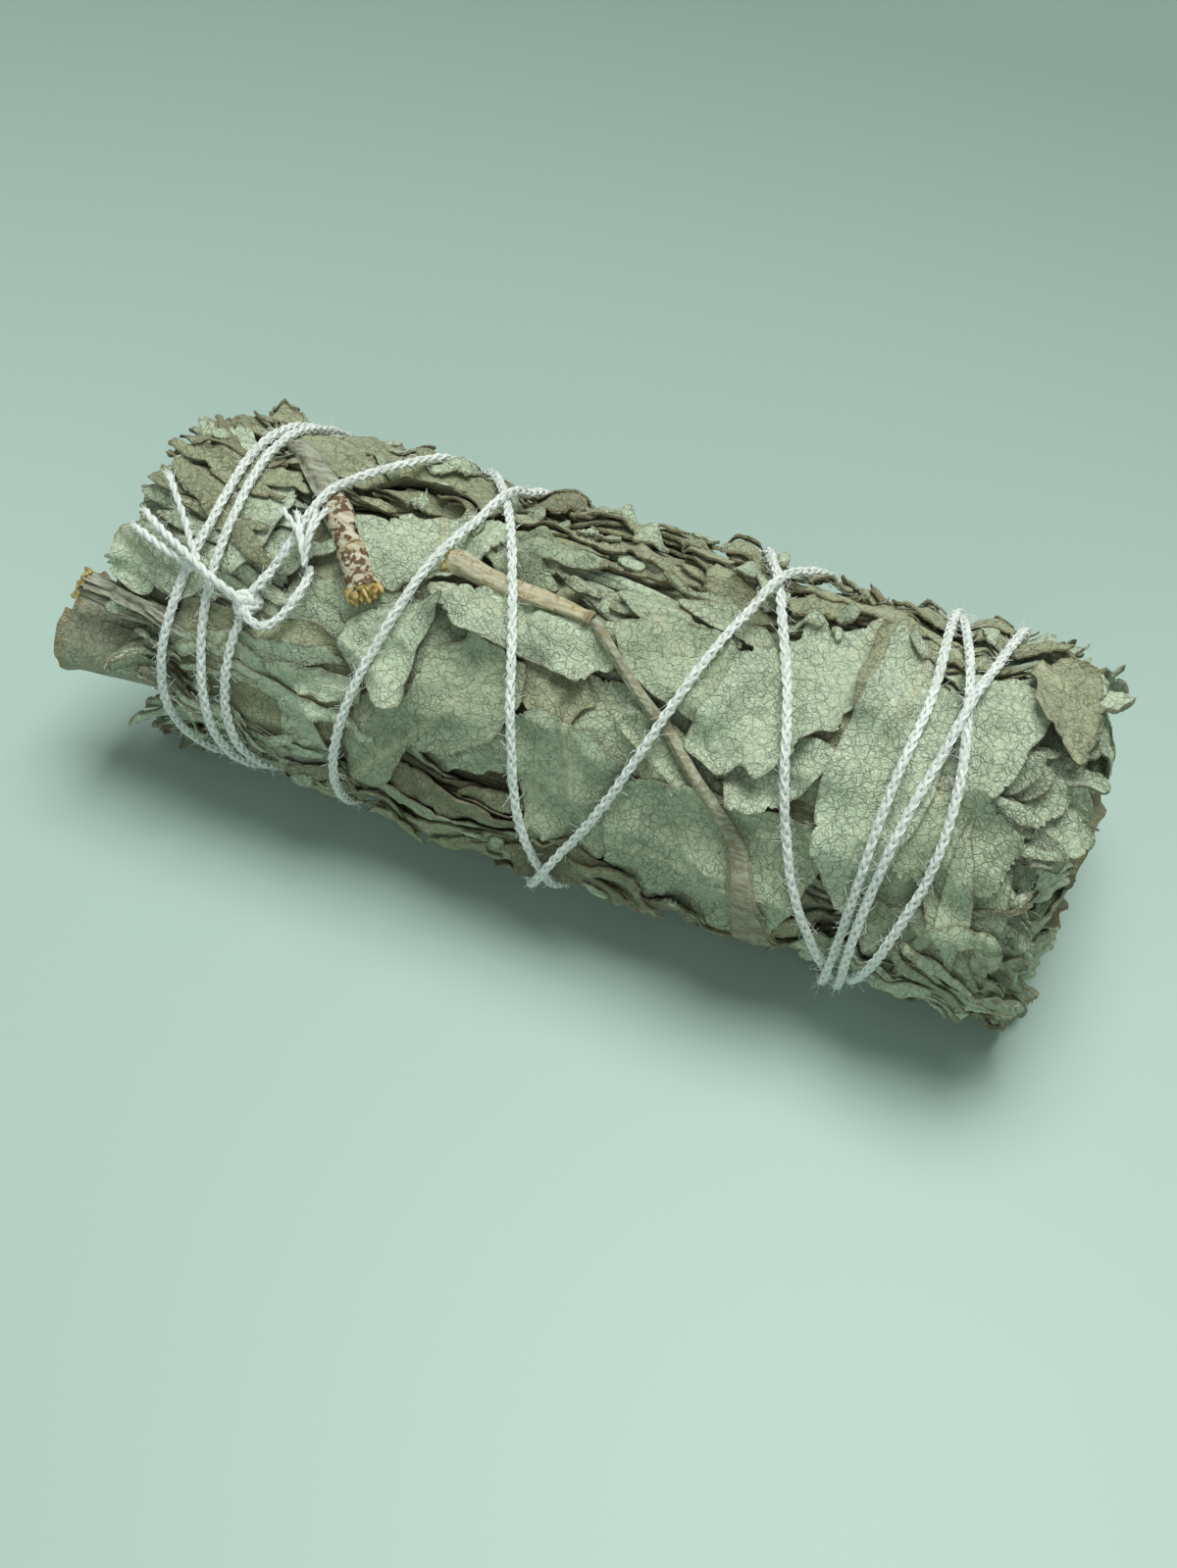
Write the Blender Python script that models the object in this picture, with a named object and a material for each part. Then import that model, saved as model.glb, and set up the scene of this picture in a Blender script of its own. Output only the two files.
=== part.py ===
"""A sage bunch: dried white sage leaves and stems, bound with one cotton string.

The bundle lies on its belly. X runs along it, from the cut stems at -X to the leaf tips at +X.
A place on it is given as (x, angle, radius): millimetres along the bundle, degrees round it from
the top towards -Y, and millimetres out from its middle line. Leaves lie in layers, one radius band
each, so that none cuts another. The string is laid on last and climbs over what lies under it.
The rolled leaf stands out past the cut stems, so x is measured from MIDDLE_X off the origin, which
is under the middle of the whole bunch.
"""

import math

import bmesh
import bpy
from mathutils import Vector

MM = 0.001

# Driving dimensions, in millimetres and degrees.
AXIS_HEIGHT = 16.6
MIDDLE_X = 1.9
SURFACE_RADIUS = 17.7
STEM_END = -49.0
TIP_END = 49.0
ROLL_END = -43.4
GAP = 0.3
STRING_DIAMETER = 1.3
STRING_FLOOR_CLEARANCE = 0.05
STRING_STEP = 3.0
STRING_STRIDE = 4
NEIGHBOURS = 20
CHANNEL_RADIUS = 1.05

# Radius bands of the leaf layers, inner and outer.
CORE_BAND = (5.2, 9.4)
INNER_BAND = (9.7, 12.1)
MIDDLE_BAND = (12.4, 15.1)
UNDER_BAND = (15.4, 16.3)
TOP_BAND = (16.6, SURFACE_RADIUS)
BELLY_BAND = (UNDER_BAND[0], SURFACE_RADIUS)

COLOURS = {
    "leaf_grey": ((0.52, 0.58, 0.47), 0.9),
    "leaf_green": ((0.42, 0.49, 0.36), 0.9),
    "leaf_olive": ((0.36, 0.39, 0.24), 0.88),
    "leaf_brown": ((0.38, 0.30, 0.19), 0.85),
    "stem_tan": ((0.52, 0.45, 0.29), 0.75),
    "bark": ((0.34, 0.22, 0.13), 0.8),
    "string_white": ((0.86, 0.88, 0.84), 0.95),
}

# How many stems, and folded leaves of each layer inside, go round the bundle.
STEM_COUNT = 5
CORE_COUNT = 4
INNER_COUNT = 5
MIDDLE_COUNT = 6

# The leaves outside: name, colour, then where the midrib starts, bends and ends as
# (x, angle), the width, and how blunt the ends are (0 pointed, 1 square).
UNDER_LEAVES = [
    ("under_leaf_front", "leaf_green", ((-42.0, 58), (-24, 60), (-5, 60)), 17.0, 0.7),
    ("midrib_leaf", "leaf_green", ((-4.0, 62), (12, 62), (27, 62)), 18.0, 0.5),
    ("under_leaf_tip", "leaf_grey", ((28.0, 55), (38, 55), (48, 55)), 20.0, 0.8),
    ("under_leaf_low", "leaf_olive", ((-42.0, 115), (0, 116), (47, 115)), 14.5, 0.8),
    ("under_leaf_top_left", "leaf_olive", ((-46.0, -30), (-30, -34), (-8, -34)), 15.0, 0.6),
    ("under_leaf_top_right", "leaf_grey", ((3.0, -2), (24, -2), (47, -2)), 16.0, 0.7),
    ("under_leaf_rear_right", "leaf_green", ((-6.0, -56), (20, -57), (47, -57)), 15.0, 0.7),
    ("under_leaf_rear_left", "leaf_grey", ((-47.0, -76), (-30, -76), (-9, -76)), 9.5, 0.7),
    ("under_leaf_back", "leaf_green", ((-47.0, -119), (0, -119), (47, -119)), 14.0, 0.8),
]
TOP_LEAVES = [
    ("big_oval_leaf", "leaf_grey", ((31.0, -14), (33.5, 36), (30, 88)), 10.0, 0.35),
    ("torn_leaf", "leaf_grey", ((24.5, -6), (20, 20), (16.0, 47)), 8.5, 0.4),
    ("broad_leaf", "leaf_green", ((-1.5, 36), (-11, 57), (-21, 84)), 10.5, 0.4),
    ("left_leaf", "leaf_grey", ((-46.0, 22), (-40, 34), (-30.0, 44)), 8.5, 0.5),
    ("shred_leaf", "leaf_grey", ((-41.0, 76), (-34, 84), (-26, 92)), 6.5, 0.5),
    ("lower_front_leaf", "leaf_green", ((-22.0, 108), (-6, 108), (9, 106)), 11.0, 0.5),
    ("lower_tip_leaf", "leaf_grey", ((26.0, 121), (36, 119), (47, 112)), 11.0, 0.6),
    ("ridge_leaf", "leaf_olive", ((-9.0, -34), (10, -38), (27, -45)), 8.0, 0.2),
    ("tip_side_leaf", "leaf_green", ((40.5, -24), (43.5, 20), (42.5, 66)), 8.0, 0.6),
    ("top_left_leaf", "leaf_olive", ((-46.0, -16), (-43, -44), (-40, -72)), 10.0, 0.5),
    ("rear_leaf_left", "leaf_green", ((-33.0, -62), (-20, -76), (-6, -88)), 12.0, 0.4),
    ("rear_leaf_right", "leaf_grey", ((0.0, -72), (18, -78), (38, -76)), 11.0, 0.4),
    ("back_leaf_left", "leaf_grey", ((-44.0, -124), (-24, -120), (-3, -122)), 12.0, 0.5),
    ("back_leaf_right", "leaf_olive", ((1.0, -118), (20, -121), (42, -118)), 12.0, 0.5),
]
# The leaves that the bundle lies on: name, and where each starts and ends along it.
BELLY_ANGLES = (143.0, 217.0)
BELLY_LEAVES = [
    ("belly_leaf_stem_end", -46.0, -27.0),
    ("belly_leaf_middle", -26.5, 27.0),
    ("belly_leaf_tip_end", 27.5, 46.5),
]
TIP_LEAF_COUNT = 5

# The string's route from the knot and back to it, as (turned angle, x). Ten turns: out towards
# the tips with a wide pitch, four close turns there, and back with a pitch of its own.
KNOT_PLACE = (-33.8, 44.0)
STRING_ROUTE = [
    (44, -33.8), (58, -34.4), (75, -34.6), (92, -34.1), (110, -32.8), (150, -32.6), (180, -32.9),
    (210, -33.6), (240, -34.6), (270, -36.5), (314, -39.6), (349, -40.4), (376, -40.2),
    (403, -40.9), (436, -41.6), (464, -41.1), (510, -39.4), (540, -38.9), (600, -38.4),
    (660, -38.3), (709, -38.8), (736, -38.4), (764, -38.1), (803, -36.7), (825, -35.5),
    (870, -35.0), (900, -35.2), (930, -35.4), (960, -34.0), (990, -29.5), (1025, -21.0),
    (1061, -13.4), (1092, -8.3), (1131, -3.6), (1163, -1.4), (1179, 0.3), (1230, 3.4),
    (1260, 5.0), (1290, 6.2), (1350, 9.0), (1400, 12.6), (1424, 16.0), (1465, 21.6),
    (1510, 25.9), (1538, 29.4), (1560, 31.6), (1590, 33.3), (1620, 33.7), (1650, 33.9),
    (1710, 33.2), (1754, 32.9), (1800, 36.6), (1829, 38.7), (1853, 38.9), (1885, 36.6),
    (1915, 33.8), (1950, 35.6), (1980, 36.2), (2010, 36.6), (2070, 37.8), (2114, 39.0),
    (2143, 38.3), (2177, 36.8), (2207, 35.0), (2233, 33.9), (2271, 32.9), (2310, 31.2),
    (2340, 31.0), (2370, 31.2), (2430, 31.8), (2489, 32.4), (2529, 33.6), (2560, 33.0),
    (2588, 32.6), (2630, 31.4), (2670, 28.8), (2700, 27.9), (2730, 27.0), (2790, 22.6),
    (2846, 17.9), (2862, 16.1), (2889, 13.3), (2912, 11.3), (2936, 8.8), (2963, 5.2),
    (2987, 0.9), (3030, -4.0), (3060, -6.0), (3090, -7.6), (3150, -10.4), (3197, -12.9),
    (3234, -14.9), (3252, -16.7), (3276, -18.7), (3299, -20.6), (3316, -21.7), (3363, -22.9),
    (3390, -23.3), (3420, -23.6), (3450, -23.6), (3510, -23.0), (3554, -23.4), (3576, -26.4),
    (3593, -28.6), (3605, -30.0), (3623, -31.3), (3634, -32.4), (3644, -33.8),
]
TAIL_ROUTES = {
    "string_tail_long": [(-33.8, 44), (-36.4, 40.5), (-39.0, 37), (-42.8, 34), (-46.6, 30)],
    "string_tail_loop": [(-33.8, 44), (-31.4, 49), (-29.2, 45), (-28.4, 36), (-28.9, 27),
                         (-30.4, 18), (-31.2, 13)],
}
# Twigs that lie on the bundle: name, colour, radius, distance from the middle line, route.
BROKEN_TWIG = ("broken_twig", "bark", 1.5, 17.5, [(-37.4, -17), (-30, 1), (-24.5, 18), (-21.9, 30)])
CENTRE_TWIG = ("centre_twig", "stem_tan", 1.0, 16.9, [(-15.3, 10), (-7, 13), (0.4, 16)])
LEAF_STALK = ("leaf_stalk", "leaf_brown", 0.5, 17.15,
              [(3.0, 20), (6, 29), (12.2, 46), (18.5, 66), (20.5, 93), (23.0, 116)])
THIN_STEM = ("thin_stem", "stem_tan", 0.8, 16.4, [(-51.8, 55), (-47, 57), (-43.0, 58)])


def clear_scene():
    """Remove every object, so that the file holds only the bunch."""
    for obj in list(bpy.data.objects):
        bpy.data.objects.remove(obj, do_unlink=True)


def make_materials():
    """Make one material for each colour of the bunch."""
    made = {}
    for name, (colour, roughness) in COLOURS.items():
        made[name] = bpy.data.materials.new(name)
        made[name].use_nodes = True
        shader = made[name].node_tree.nodes["Principled BSDF"]
        shader.inputs["Base Color"].default_value = (*colour, 1.0)
        shader.inputs["Roughness"].default_value = roughness
        shader.inputs["Metallic"].default_value = 0.0
    return made


def belly_scale(angle):
    """How far the bundle's weight has pressed it in at this angle, 1 where it is still round."""
    down = -math.cos(math.radians(angle))
    return min(1.0, AXIS_HEIGHT / (SURFACE_RADIUS * down)) if down > 0.5 else 1.0


def place(x, angle, radius, flattened=True):
    """The point in metres for a place on the bundle."""
    reach = radius * (belly_scale(angle) if flattened else 1.0)
    turn = math.radians(angle)
    across, up = -reach * math.sin(turn), reach * math.cos(turn)
    return Vector((x + MIDDLE_X, across, AXIS_HEIGHT + up)) * MM


def read_curve(points, count):
    """Read a smooth curve through the points at evenly spaced steps (Catmull-Rom)."""
    last = len(points) - 1
    read = []
    for step in range(count):
        along = last * step / (count - 1)
        start = min(int(along), last - 1)
        t = along - start
        a, b = points[max(start - 1, 0)], points[start]
        c, d = points[start + 1], points[min(start + 2, last)]
        read.append(tuple(
            0.5 * (2 * q + (r - p) * t + (2 * p - 5 * q + 4 * r - s) * t * t
                   + (3 * q - p - 3 * r + s) * t ** 3)
            for p, q, r, s in zip(a, b, c, d)))
    return read


def add_object(name, mesh, material, smooth=True):
    """Put a mesh in the scene under its name, with its material."""
    for polygon in mesh.polygons:
        polygon.use_smooth = smooth
    if smooth:
        mesh.set_sharp_from_angle(angle=math.radians(45))
    mesh.materials.append(material)
    obj = bpy.data.objects.new(name, mesh)
    bpy.context.collection.objects.link(obj)
    return obj


def mesh_from(name, points, faces):
    """Make a mesh whose faces all point out."""
    bm = bmesh.new()
    verts = [bm.verts.new(point) for point in points]
    for face in faces:
        bm.faces.new([verts[index] for index in face])
    bmesh.ops.recalc_face_normals(bm, faces=bm.faces)
    mesh = bpy.data.meshes.new(name)
    bm.to_mesh(mesh)
    bm.free()
    return mesh


def sheet_solid(name, outer, inner, material):
    """Close two grids of points, a sheet's outer and inner faces, into one solid."""
    rows, columns = len(outer), len(outer[0])
    points = [point for grid in (outer, inner) for row in grid for point in row]

    def at(side, row, column):
        return side * rows * columns + row * columns + column

    faces = []
    for row in range(rows - 1):
        for column in range(columns - 1):
            for side in (0, 1):
                faces.append([at(side, row, column), at(side, row, column + 1),
                              at(side, row + 1, column + 1), at(side, row + 1, column)])
    edge = [(0, c) for c in range(columns)] + [(r, columns - 1) for r in range(1, rows)]
    edge += [(rows - 1, c) for c in range(columns - 2, -1, -1)]
    edge += [(r, 0) for r in range(rows - 2, 0, -1)]
    for here, there in zip(edge, edge[1:] + edge[:1]):
        faces.append([at(0, *here), at(0, *there), at(1, *there), at(1, *here)])
    return add_object(name, mesh_from(name, points, faces), material)


def leaf_half_width(along, width, bluntness):
    """Half of a leaf's width at a part of its length: a pointed oval, or squarer."""
    oval = math.sin(math.pi * (0.07 + 0.86 * along))
    return 0.5 * width * oval ** (0.9 - 0.75 * bluntness)


def leaf(name, material, midrib, width, bluntness, band, rows=9, columns=5):
    """A leaf pressed round the bundle: an oval sheet along its midrib, inside its band."""
    inner_radius, outer_radius = band
    degree = math.radians(1) * SURFACE_RADIUS
    spine = read_curve([(x, angle * degree) for x, angle in midrib], rows)
    outer, inner = [], []
    for row, (x, arc) in enumerate(spine):
        before, after = spine[max(row - 1, 0)], spine[min(row + 1, rows - 1)]
        heading = Vector((after[0] - before[0], after[1] - before[1])).normalized()
        half = leaf_half_width(row / (rows - 1), width, bluntness)
        top_row, low_row = [], []
        for column in range(columns):
            across = half * (2 * column / (columns - 1) - 1)
            angle = (arc + heading.x * across) / degree
            lengthwise = x - heading.y * across
            top_row.append(place(lengthwise, angle, outer_radius))
            low_row.append(place(lengthwise, angle, inner_radius))
        outer.append(top_row)
        inner.append(low_row)
    return sheet_solid(name, outer, inner, material)


def folded_leaf(name, material, start, end, angles, band, columns=5, rows=5, pinch=0.28):
    """A leaf folded flat inside the bundle: it fills a sector of its band, pinched at its ends."""
    first, last = angles
    middle = 0.5 * (band[0] + band[1])
    outer, inner = [], []
    for row in range(rows):
        along = row / (rows - 1)
        taper = 1.0 - pinch * (1.0 - abs(math.sin(math.pi * along)) ** 0.5)
        x = start + (end - start) * along
        ring = [first + (last - first) * column / (columns - 1) for column in range(columns)]
        outer.append([place(x, angle, middle + (band[1] - middle) * taper) for angle in ring])
        inner.append([place(x, angle, middle + (band[0] - middle) * taper) for angle in ring])
    return sheet_solid(name, outer, inner, material)


def tube(name, points, radii, material, sides=6, flat=1.0):
    """A capped tube through the points. Flat under 1 squashes it towards the middle line."""
    corners, normal = [], None
    for index, point in enumerate(points):
        after = points[min(index + 1, len(points) - 1)]
        heading = (after - points[max(index - 1, 0)]).normalized()
        if normal is None:
            outward = Vector((0, point.y, point.z - AXIS_HEIGHT * MM))
            normal = outward
        normal = (normal - heading * normal.dot(heading)).normalized()
        side = heading.cross(normal)
        for corner in range(sides):
            turn = 2 * math.pi * (corner + 0.5) / sides
            corners.append(point + (normal * math.cos(turn) * flat + side * math.sin(turn))
                           * radii[index] * MM)
    faces = []
    for ring in range(len(points) - 1):
        for corner in range(sides):
            here, there = ring * sides + corner, ring * sides + (corner + 1) % sides
            faces.append([here, there, there + sides, here + sides])
    faces.append(list(range(sides)))
    faces.append([(len(points) - 1) * sides + corner for corner in range(sides)])
    return add_object(name, mesh_from(name, corners, faces), material)


def twig(spec, materials, count, radii=None, sides=8, flat=1.0):
    """A twig or stalk that lies in the bundle's surface along its route."""
    name, colour, radius, out, route = spec
    points = [place(x, angle, out, flattened=False) for x, angle in read_curve(route, count)]
    tube(name, points, radii or [radius] * count, materials[colour], sides, flat)
    return points


def floor_radius(angle):
    """How far out the string's middle may run before the string meets what the bundle lies on."""
    down = -math.cos(math.radians(angle))
    lowest = AXIS_HEIGHT - STRING_DIAMETER / 2 - STRING_FLOOR_CLEARANCE
    return lowest / down if down > 0.3 else 2 * SURFACE_RADIUS


def string_radius(angle):
    """How far out the string's middle runs: on the leaves, or just clear of what is below."""
    return min(SURFACE_RADIUS + GAP + STRING_DIAMETER / 2, floor_radius(angle))


def lay_cord(route, laid, stride):
    """Lay a cord on the bundle along (x, angle) places, over everything laid before.

    `laid` holds what lies there already as (point, distance to keep) pairs in millimetres. Each
    place is lifted until it clears them and the cord's own earlier turns, and the lift is spread
    along the cord. Every `stride`th place is kept.
    """
    lifts, own = [], []
    for x, angle in route:
        radius = string_radius(angle)
        spot = place(x, angle, radius, flattened=False) / MM
        older = own[:-NEIGHBOURS] if len(own) > NEIGHBOURS else []
        under = [pair for pair in laid + older if (pair[0] - spot).length < 4.5]
        lift = 0.0
        while any((point - spot).length < keep for point, keep in under):
            lift += 0.1
            spot = place(x, angle, radius + lift, flattened=False) / MM
        lifts.append(lift)
        own.append((spot, STRING_DIAMETER + 1.4 * GAP))
    points = []
    for index in range(0, len(route), stride):
        x, angle = route[index]
        near = range(max(index - 2 * stride, 0), min(index + 2 * stride + 1, len(route)))
        ease = [lifts[k] * min(1.0, 1.6 - 0.8 * abs(k - index) / stride) for k in near]
        out = min(string_radius(angle) + max(ease), floor_radius(angle))
        points.append(place(x, angle, out, flattened=False))
    return points


def string_places():
    """Read the string's route every few degrees."""
    places = []
    for step in range(int((STRING_ROUTE[-1][0] - STRING_ROUTE[0][0]) / STRING_STEP) + 1):
        angle = STRING_ROUTE[0][0] + STRING_STEP * step
        index = next(i for i, knot in enumerate(STRING_ROUTE[1:], 1) if knot[0] >= angle)
        b, c = STRING_ROUTE[index - 1], STRING_ROUTE[index]
        a = STRING_ROUTE[max(index - 2, 0)]
        d = STRING_ROUTE[min(index + 1, len(STRING_ROUTE) - 1)]
        span = c[0] - b[0]
        t = (angle - b[0]) / span
        slope_b = (c[1] - a[1]) / (c[0] - a[0]) * span
        slope_c = (d[1] - b[1]) / (d[0] - b[0]) * span
        x = ((2 * t ** 3 - 3 * t ** 2 + 1) * b[1] + (t ** 3 - 2 * t ** 2 + t) * slope_b
             + (3 * t ** 2 - 2 * t ** 3) * c[1] + (t ** 3 - t ** 2) * slope_c)
        places.append((x, angle))
    return places


def dense(points, thickness, step=0.4):
    """Fill in points along a run, as (point in millimetres, thickness) pairs."""
    filled = []
    for start, end in zip(points, points[1:]):
        count = max(int((end - start).length / (step * MM)), 1)
        filled += [((start + (end - start) * k / count) / MM, thickness) for k in range(count)]
    return filled


def build_stems(materials):
    """Woody stems in the middle, cut at uneven lengths at the stem end."""
    for number in range(STEM_COUNT):
        radius = 0.0 if number == 0 else 3.4
        thick = 1.6 if number == 0 else 1.5 + 0.15 * math.cos(2.4 * number)
        start = STEM_END + 1.2 * math.sin(3.1 * number) - 0.6
        end = 24.0 + 11.0 * math.sin(2.1 * number)
        angle = 360 * number / (STEM_COUNT - 1)
        points = [place(start + (end - start) * step / 6, angle, radius) for step in range(7)]
        radii = [thick * (1 - 0.04 * step) for step in range(7)]
        tube(f"stem_{number + 1}", points, radii, materials["stem_tan"], sides=8)


def build_inner_leaves(materials):
    """The leaves folded inside, in three layers round the stems."""
    layers = (("core_leaf", CORE_COUNT, CORE_BAND, 10, 3.0),
              ("inner_leaf", INNER_COUNT, INNER_BAND, 34, 2.2),
              ("middle_leaf", MIDDLE_COUNT, MIDDLE_BAND, 3, 1.6))
    colours = ("leaf_olive", "leaf_green", "leaf_grey")
    for name, count, band, turn, space in layers:
        sector = 360 / count
        for number in range(count):
            first = turn + sector * number + space / 2
            angles = (first, first + sector - space)
            start = STEM_END + 1.6 * math.sin(2.3 * number + turn)
            start = ROLL_END + 0.8 if first < 112 and angles[1] > 56 else start
            end = TIP_END - 3.0 + 0.9 * math.sin(1.7 * number + turn)
            columns = max(4, int(sector / 12) + 1)
            folded_leaf(f"{name}_{number + 1}", materials[colours[number % 3]], start, end,
                        angles, band, columns=columns)


def build_belly_leaves(materials, string_points):
    """The leaves that the bundle lies on, each with a channel where the string runs under it."""
    low = [index for index, point in enumerate(string_points) if point.z < 0.0035]
    runs = []
    for index in low:
        if runs and index == runs[-1][-1] + 1:
            runs[-1].append(index)
        else:
            runs.append([index])
    for name, start, end in BELLY_LEAVES:
        belly = folded_leaf(name, materials["leaf_grey"], start, end, BELLY_ANGLES, BELLY_BAND,
                            columns=9, rows=2, pinch=0.0)
        for run in runs:
            stretch = string_points[max(run[0] - 1, 0):run[-1] + 2]
            first, last = place(start, 0, 0).x, place(end, 0, 0).x
            if max(p.x for p in stretch) < first or min(p.x for p in stretch) > last:
                continue
            cutter = tube(f"{name}_channel", stretch, [CHANNEL_RADIUS] * len(stretch),
                          materials["leaf_grey"], sides=8)
            cutter.hide_render = True
            cutter.display_type = "WIRE"
            cut = belly.modifiers.new("channel", "BOOLEAN")
            cut.operation = "DIFFERENCE"
            cut.solver = "EXACT"
            cut.object = cutter


def build_rolled_leaf(materials):
    """A leaf rolled up at the stem end: a scroll of a turn and a quarter, open at both ends."""
    steps, turns, thickness, pitch = 22, 1.25, 0.7, 1.3
    outer, inner = [], []
    for x in (-55.0, -51.0, -47.0, ROLL_END):
        top_row, low_row = [], []
        for step in range(steps + 1):
            turn = math.radians(20) + 2 * math.pi * turns * step / steps
            reach = 5.3 - pitch * turns * step / steps
            heading = Vector((0, math.cos(turn), math.sin(turn)))
            centre = place(x, 84, 12.0, flattened=False)
            top_row.append(centre + heading * reach * MM)
            low_row.append(centre + heading * (reach - thickness) * MM)
        outer.append(top_row)
        inner.append(low_row)
    sheet_solid("rolled_leaf", outer, inner, materials["leaf_grey"])


def build_tip_leaves(materials):
    """Leaf tips folded in over the end of the bundle, side by side round it."""
    profile = [(47.9, 15.3), (49.6, 14.4), (50.8, 12.2), (51.2, 8.4), (50.4, 4.0)]
    thickness = 0.7
    sector = 360 / TIP_LEAF_COUNT
    for number in range(TIP_LEAF_COUNT):
        first = sector * number + 20
        outer, inner = [], []
        for row, (x, radius) in enumerate(profile):
            narrow = 2.0 + 1.6 * row
            ring = [first + narrow + (sector - 2 * narrow) * k / 5 for k in range(6)]
            outer.append([place(x, angle, radius) for angle in ring])
            inner.append([place(x - thickness, angle, radius - 0.3 * thickness) for angle in ring])
        colour = ("leaf_grey", "leaf_green", "leaf_olive")[number % 3]
        sheet_solid(f"tip_leaf_{number + 1}", outer, inner, materials[colour])


def build_knot(materials):
    """The knot: a lumpy bead with the turns of a granny knot showing as ridges."""
    centre = place(KNOT_PLACE[0], KNOT_PLACE[1], SURFACE_RADIUS + GAP + 1.35, flattened=False)
    outward = (centre - place(KNOT_PLACE[0], 0, 0)).normalized()
    rings, sides = 7, 10
    points = []
    for ring in range(rings):
        tilt = math.pi * (ring + 0.5) / rings
        for side in range(sides):
            turn = 2 * math.pi * side / sides
            swell = 1.0 + 0.12 * math.cos(2 * turn + 3 * tilt)
            spot = Vector((1.7 * math.cos(tilt), 1.5 * math.sin(tilt) * math.cos(turn) * swell,
                           1.25 * math.sin(tilt) * math.sin(turn)))
            across = outward.cross(Vector((1, 0, 0))).normalized()
            points.append(centre + (Vector((1, 0, 0)) * spot.x + across * spot.y
                                    + outward * spot.z) * MM)
    faces = [[r * sides + s, r * sides + (s + 1) % sides, (r + 1) * sides + (s + 1) % sides,
              (r + 1) * sides + s] for r in range(rings - 1) for s in range(sides)]
    faces += [list(range(sides)), [(rings - 1) * sides + s for s in range(sides)]]
    add_object("string_knot", mesh_from("string_knot", points, faces), materials["string_white"])
    return centre


def clear_of_knot(points, knot, distance=2.1):
    """Drop the points of a cord that lie inside the knot."""
    return [point for point in points if (point - knot).length > distance * MM]


def build():
    """Build the whole bunch."""
    clear_scene()
    materials = make_materials()
    build_stems(materials)
    build_inner_leaves(materials)
    for layer, band in ((UNDER_LEAVES, UNDER_BAND), (TOP_LEAVES, TOP_BAND)):
        for name, colour, midrib, width, bluntness in layer:
            leaf(name, materials[colour], midrib, width, bluntness, band)
    twig_points = twig(BROKEN_TWIG, materials, 7, [1.1, 1.25, 1.4, 1.5, 1.5, 1.6, 1.6])
    twig(CENTRE_TWIG, materials, 6)
    twig(LEAF_STALK, materials, 12, [0.5] * 8 + [0.6, 0.8, 1.0, 1.2], sides=6, flat=0.5)
    twig(THIN_STEM, materials, 4)
    build_rolled_leaf(materials)
    build_tip_leaves(materials)
    knot = build_knot(materials)
    places = string_places()
    laid = dense(twig_points, BROKEN_TWIG[2] + STRING_DIAMETER / 2 + 1.5 * GAP)
    string_points = clear_of_knot(lay_cord(places, laid, STRING_STRIDE), knot)
    tube("binding_string", string_points, [STRING_DIAMETER / 2] * len(string_points),
         materials["string_white"])
    build_belly_leaves(materials, string_points)
    laid += dense(string_points, STRING_DIAMETER + 1.4 * GAP)
    for name, route in TAIL_ROUTES.items():
        points = clear_of_knot(lay_cord(read_curve(route, 27), laid, 2), knot)
        tube(name, points, [STRING_DIAMETER / 2] * len(points), materials["string_white"])
        laid += dense(points, STRING_DIAMETER + 1.4 * GAP)


build()
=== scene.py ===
"""The looks of a sage bunch: dried white sage leaves and twigs, wound with one cotton string.

A place on the bundle is (x, arc, reach) in millimetres: along it from the middle of the leaves,
round it from the top towards -Y, measured on the round of the bundle, and out from its middle line.
Sheets are cut flat in (x, arc) and laid one after another on a Pile, which remembers how far out
the leaves reach, so that each leaf drapes over those under it. The string is laid last and presses
the leaves in along its way.
"""

import logging
import math
from dataclasses import dataclass, field
from enum import Enum

import bpy
import numpy as np
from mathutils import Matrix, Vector


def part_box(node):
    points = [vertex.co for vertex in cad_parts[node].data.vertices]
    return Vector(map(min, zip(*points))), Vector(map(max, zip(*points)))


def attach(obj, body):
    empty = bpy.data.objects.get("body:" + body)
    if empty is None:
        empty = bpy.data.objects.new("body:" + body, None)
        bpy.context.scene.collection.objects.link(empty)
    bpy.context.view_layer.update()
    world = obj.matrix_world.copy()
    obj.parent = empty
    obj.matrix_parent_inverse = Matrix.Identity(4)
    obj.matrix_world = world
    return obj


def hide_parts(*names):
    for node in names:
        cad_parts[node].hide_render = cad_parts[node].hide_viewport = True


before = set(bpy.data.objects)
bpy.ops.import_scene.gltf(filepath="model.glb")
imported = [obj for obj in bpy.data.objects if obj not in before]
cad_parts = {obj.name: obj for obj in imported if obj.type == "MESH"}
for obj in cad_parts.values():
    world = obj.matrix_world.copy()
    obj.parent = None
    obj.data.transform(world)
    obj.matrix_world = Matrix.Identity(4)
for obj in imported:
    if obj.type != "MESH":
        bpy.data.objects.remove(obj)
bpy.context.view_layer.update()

LOG = logging.getLogger("sage_bunch")
MM = 0.001
SEED = 7
SHARP_EDGE = 60.0
Array = np.ndarray


class Slot(Enum):
    """The record's material slots."""

    GREY = "grey_leaf"
    GREEN = "green_leaf"
    OLIVE = "olive_leaf"
    STALK = "leaf_stalk"
    STEM = "cut_stem"
    BARK = "twig_bark"
    STRING = "cotton_string"


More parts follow.
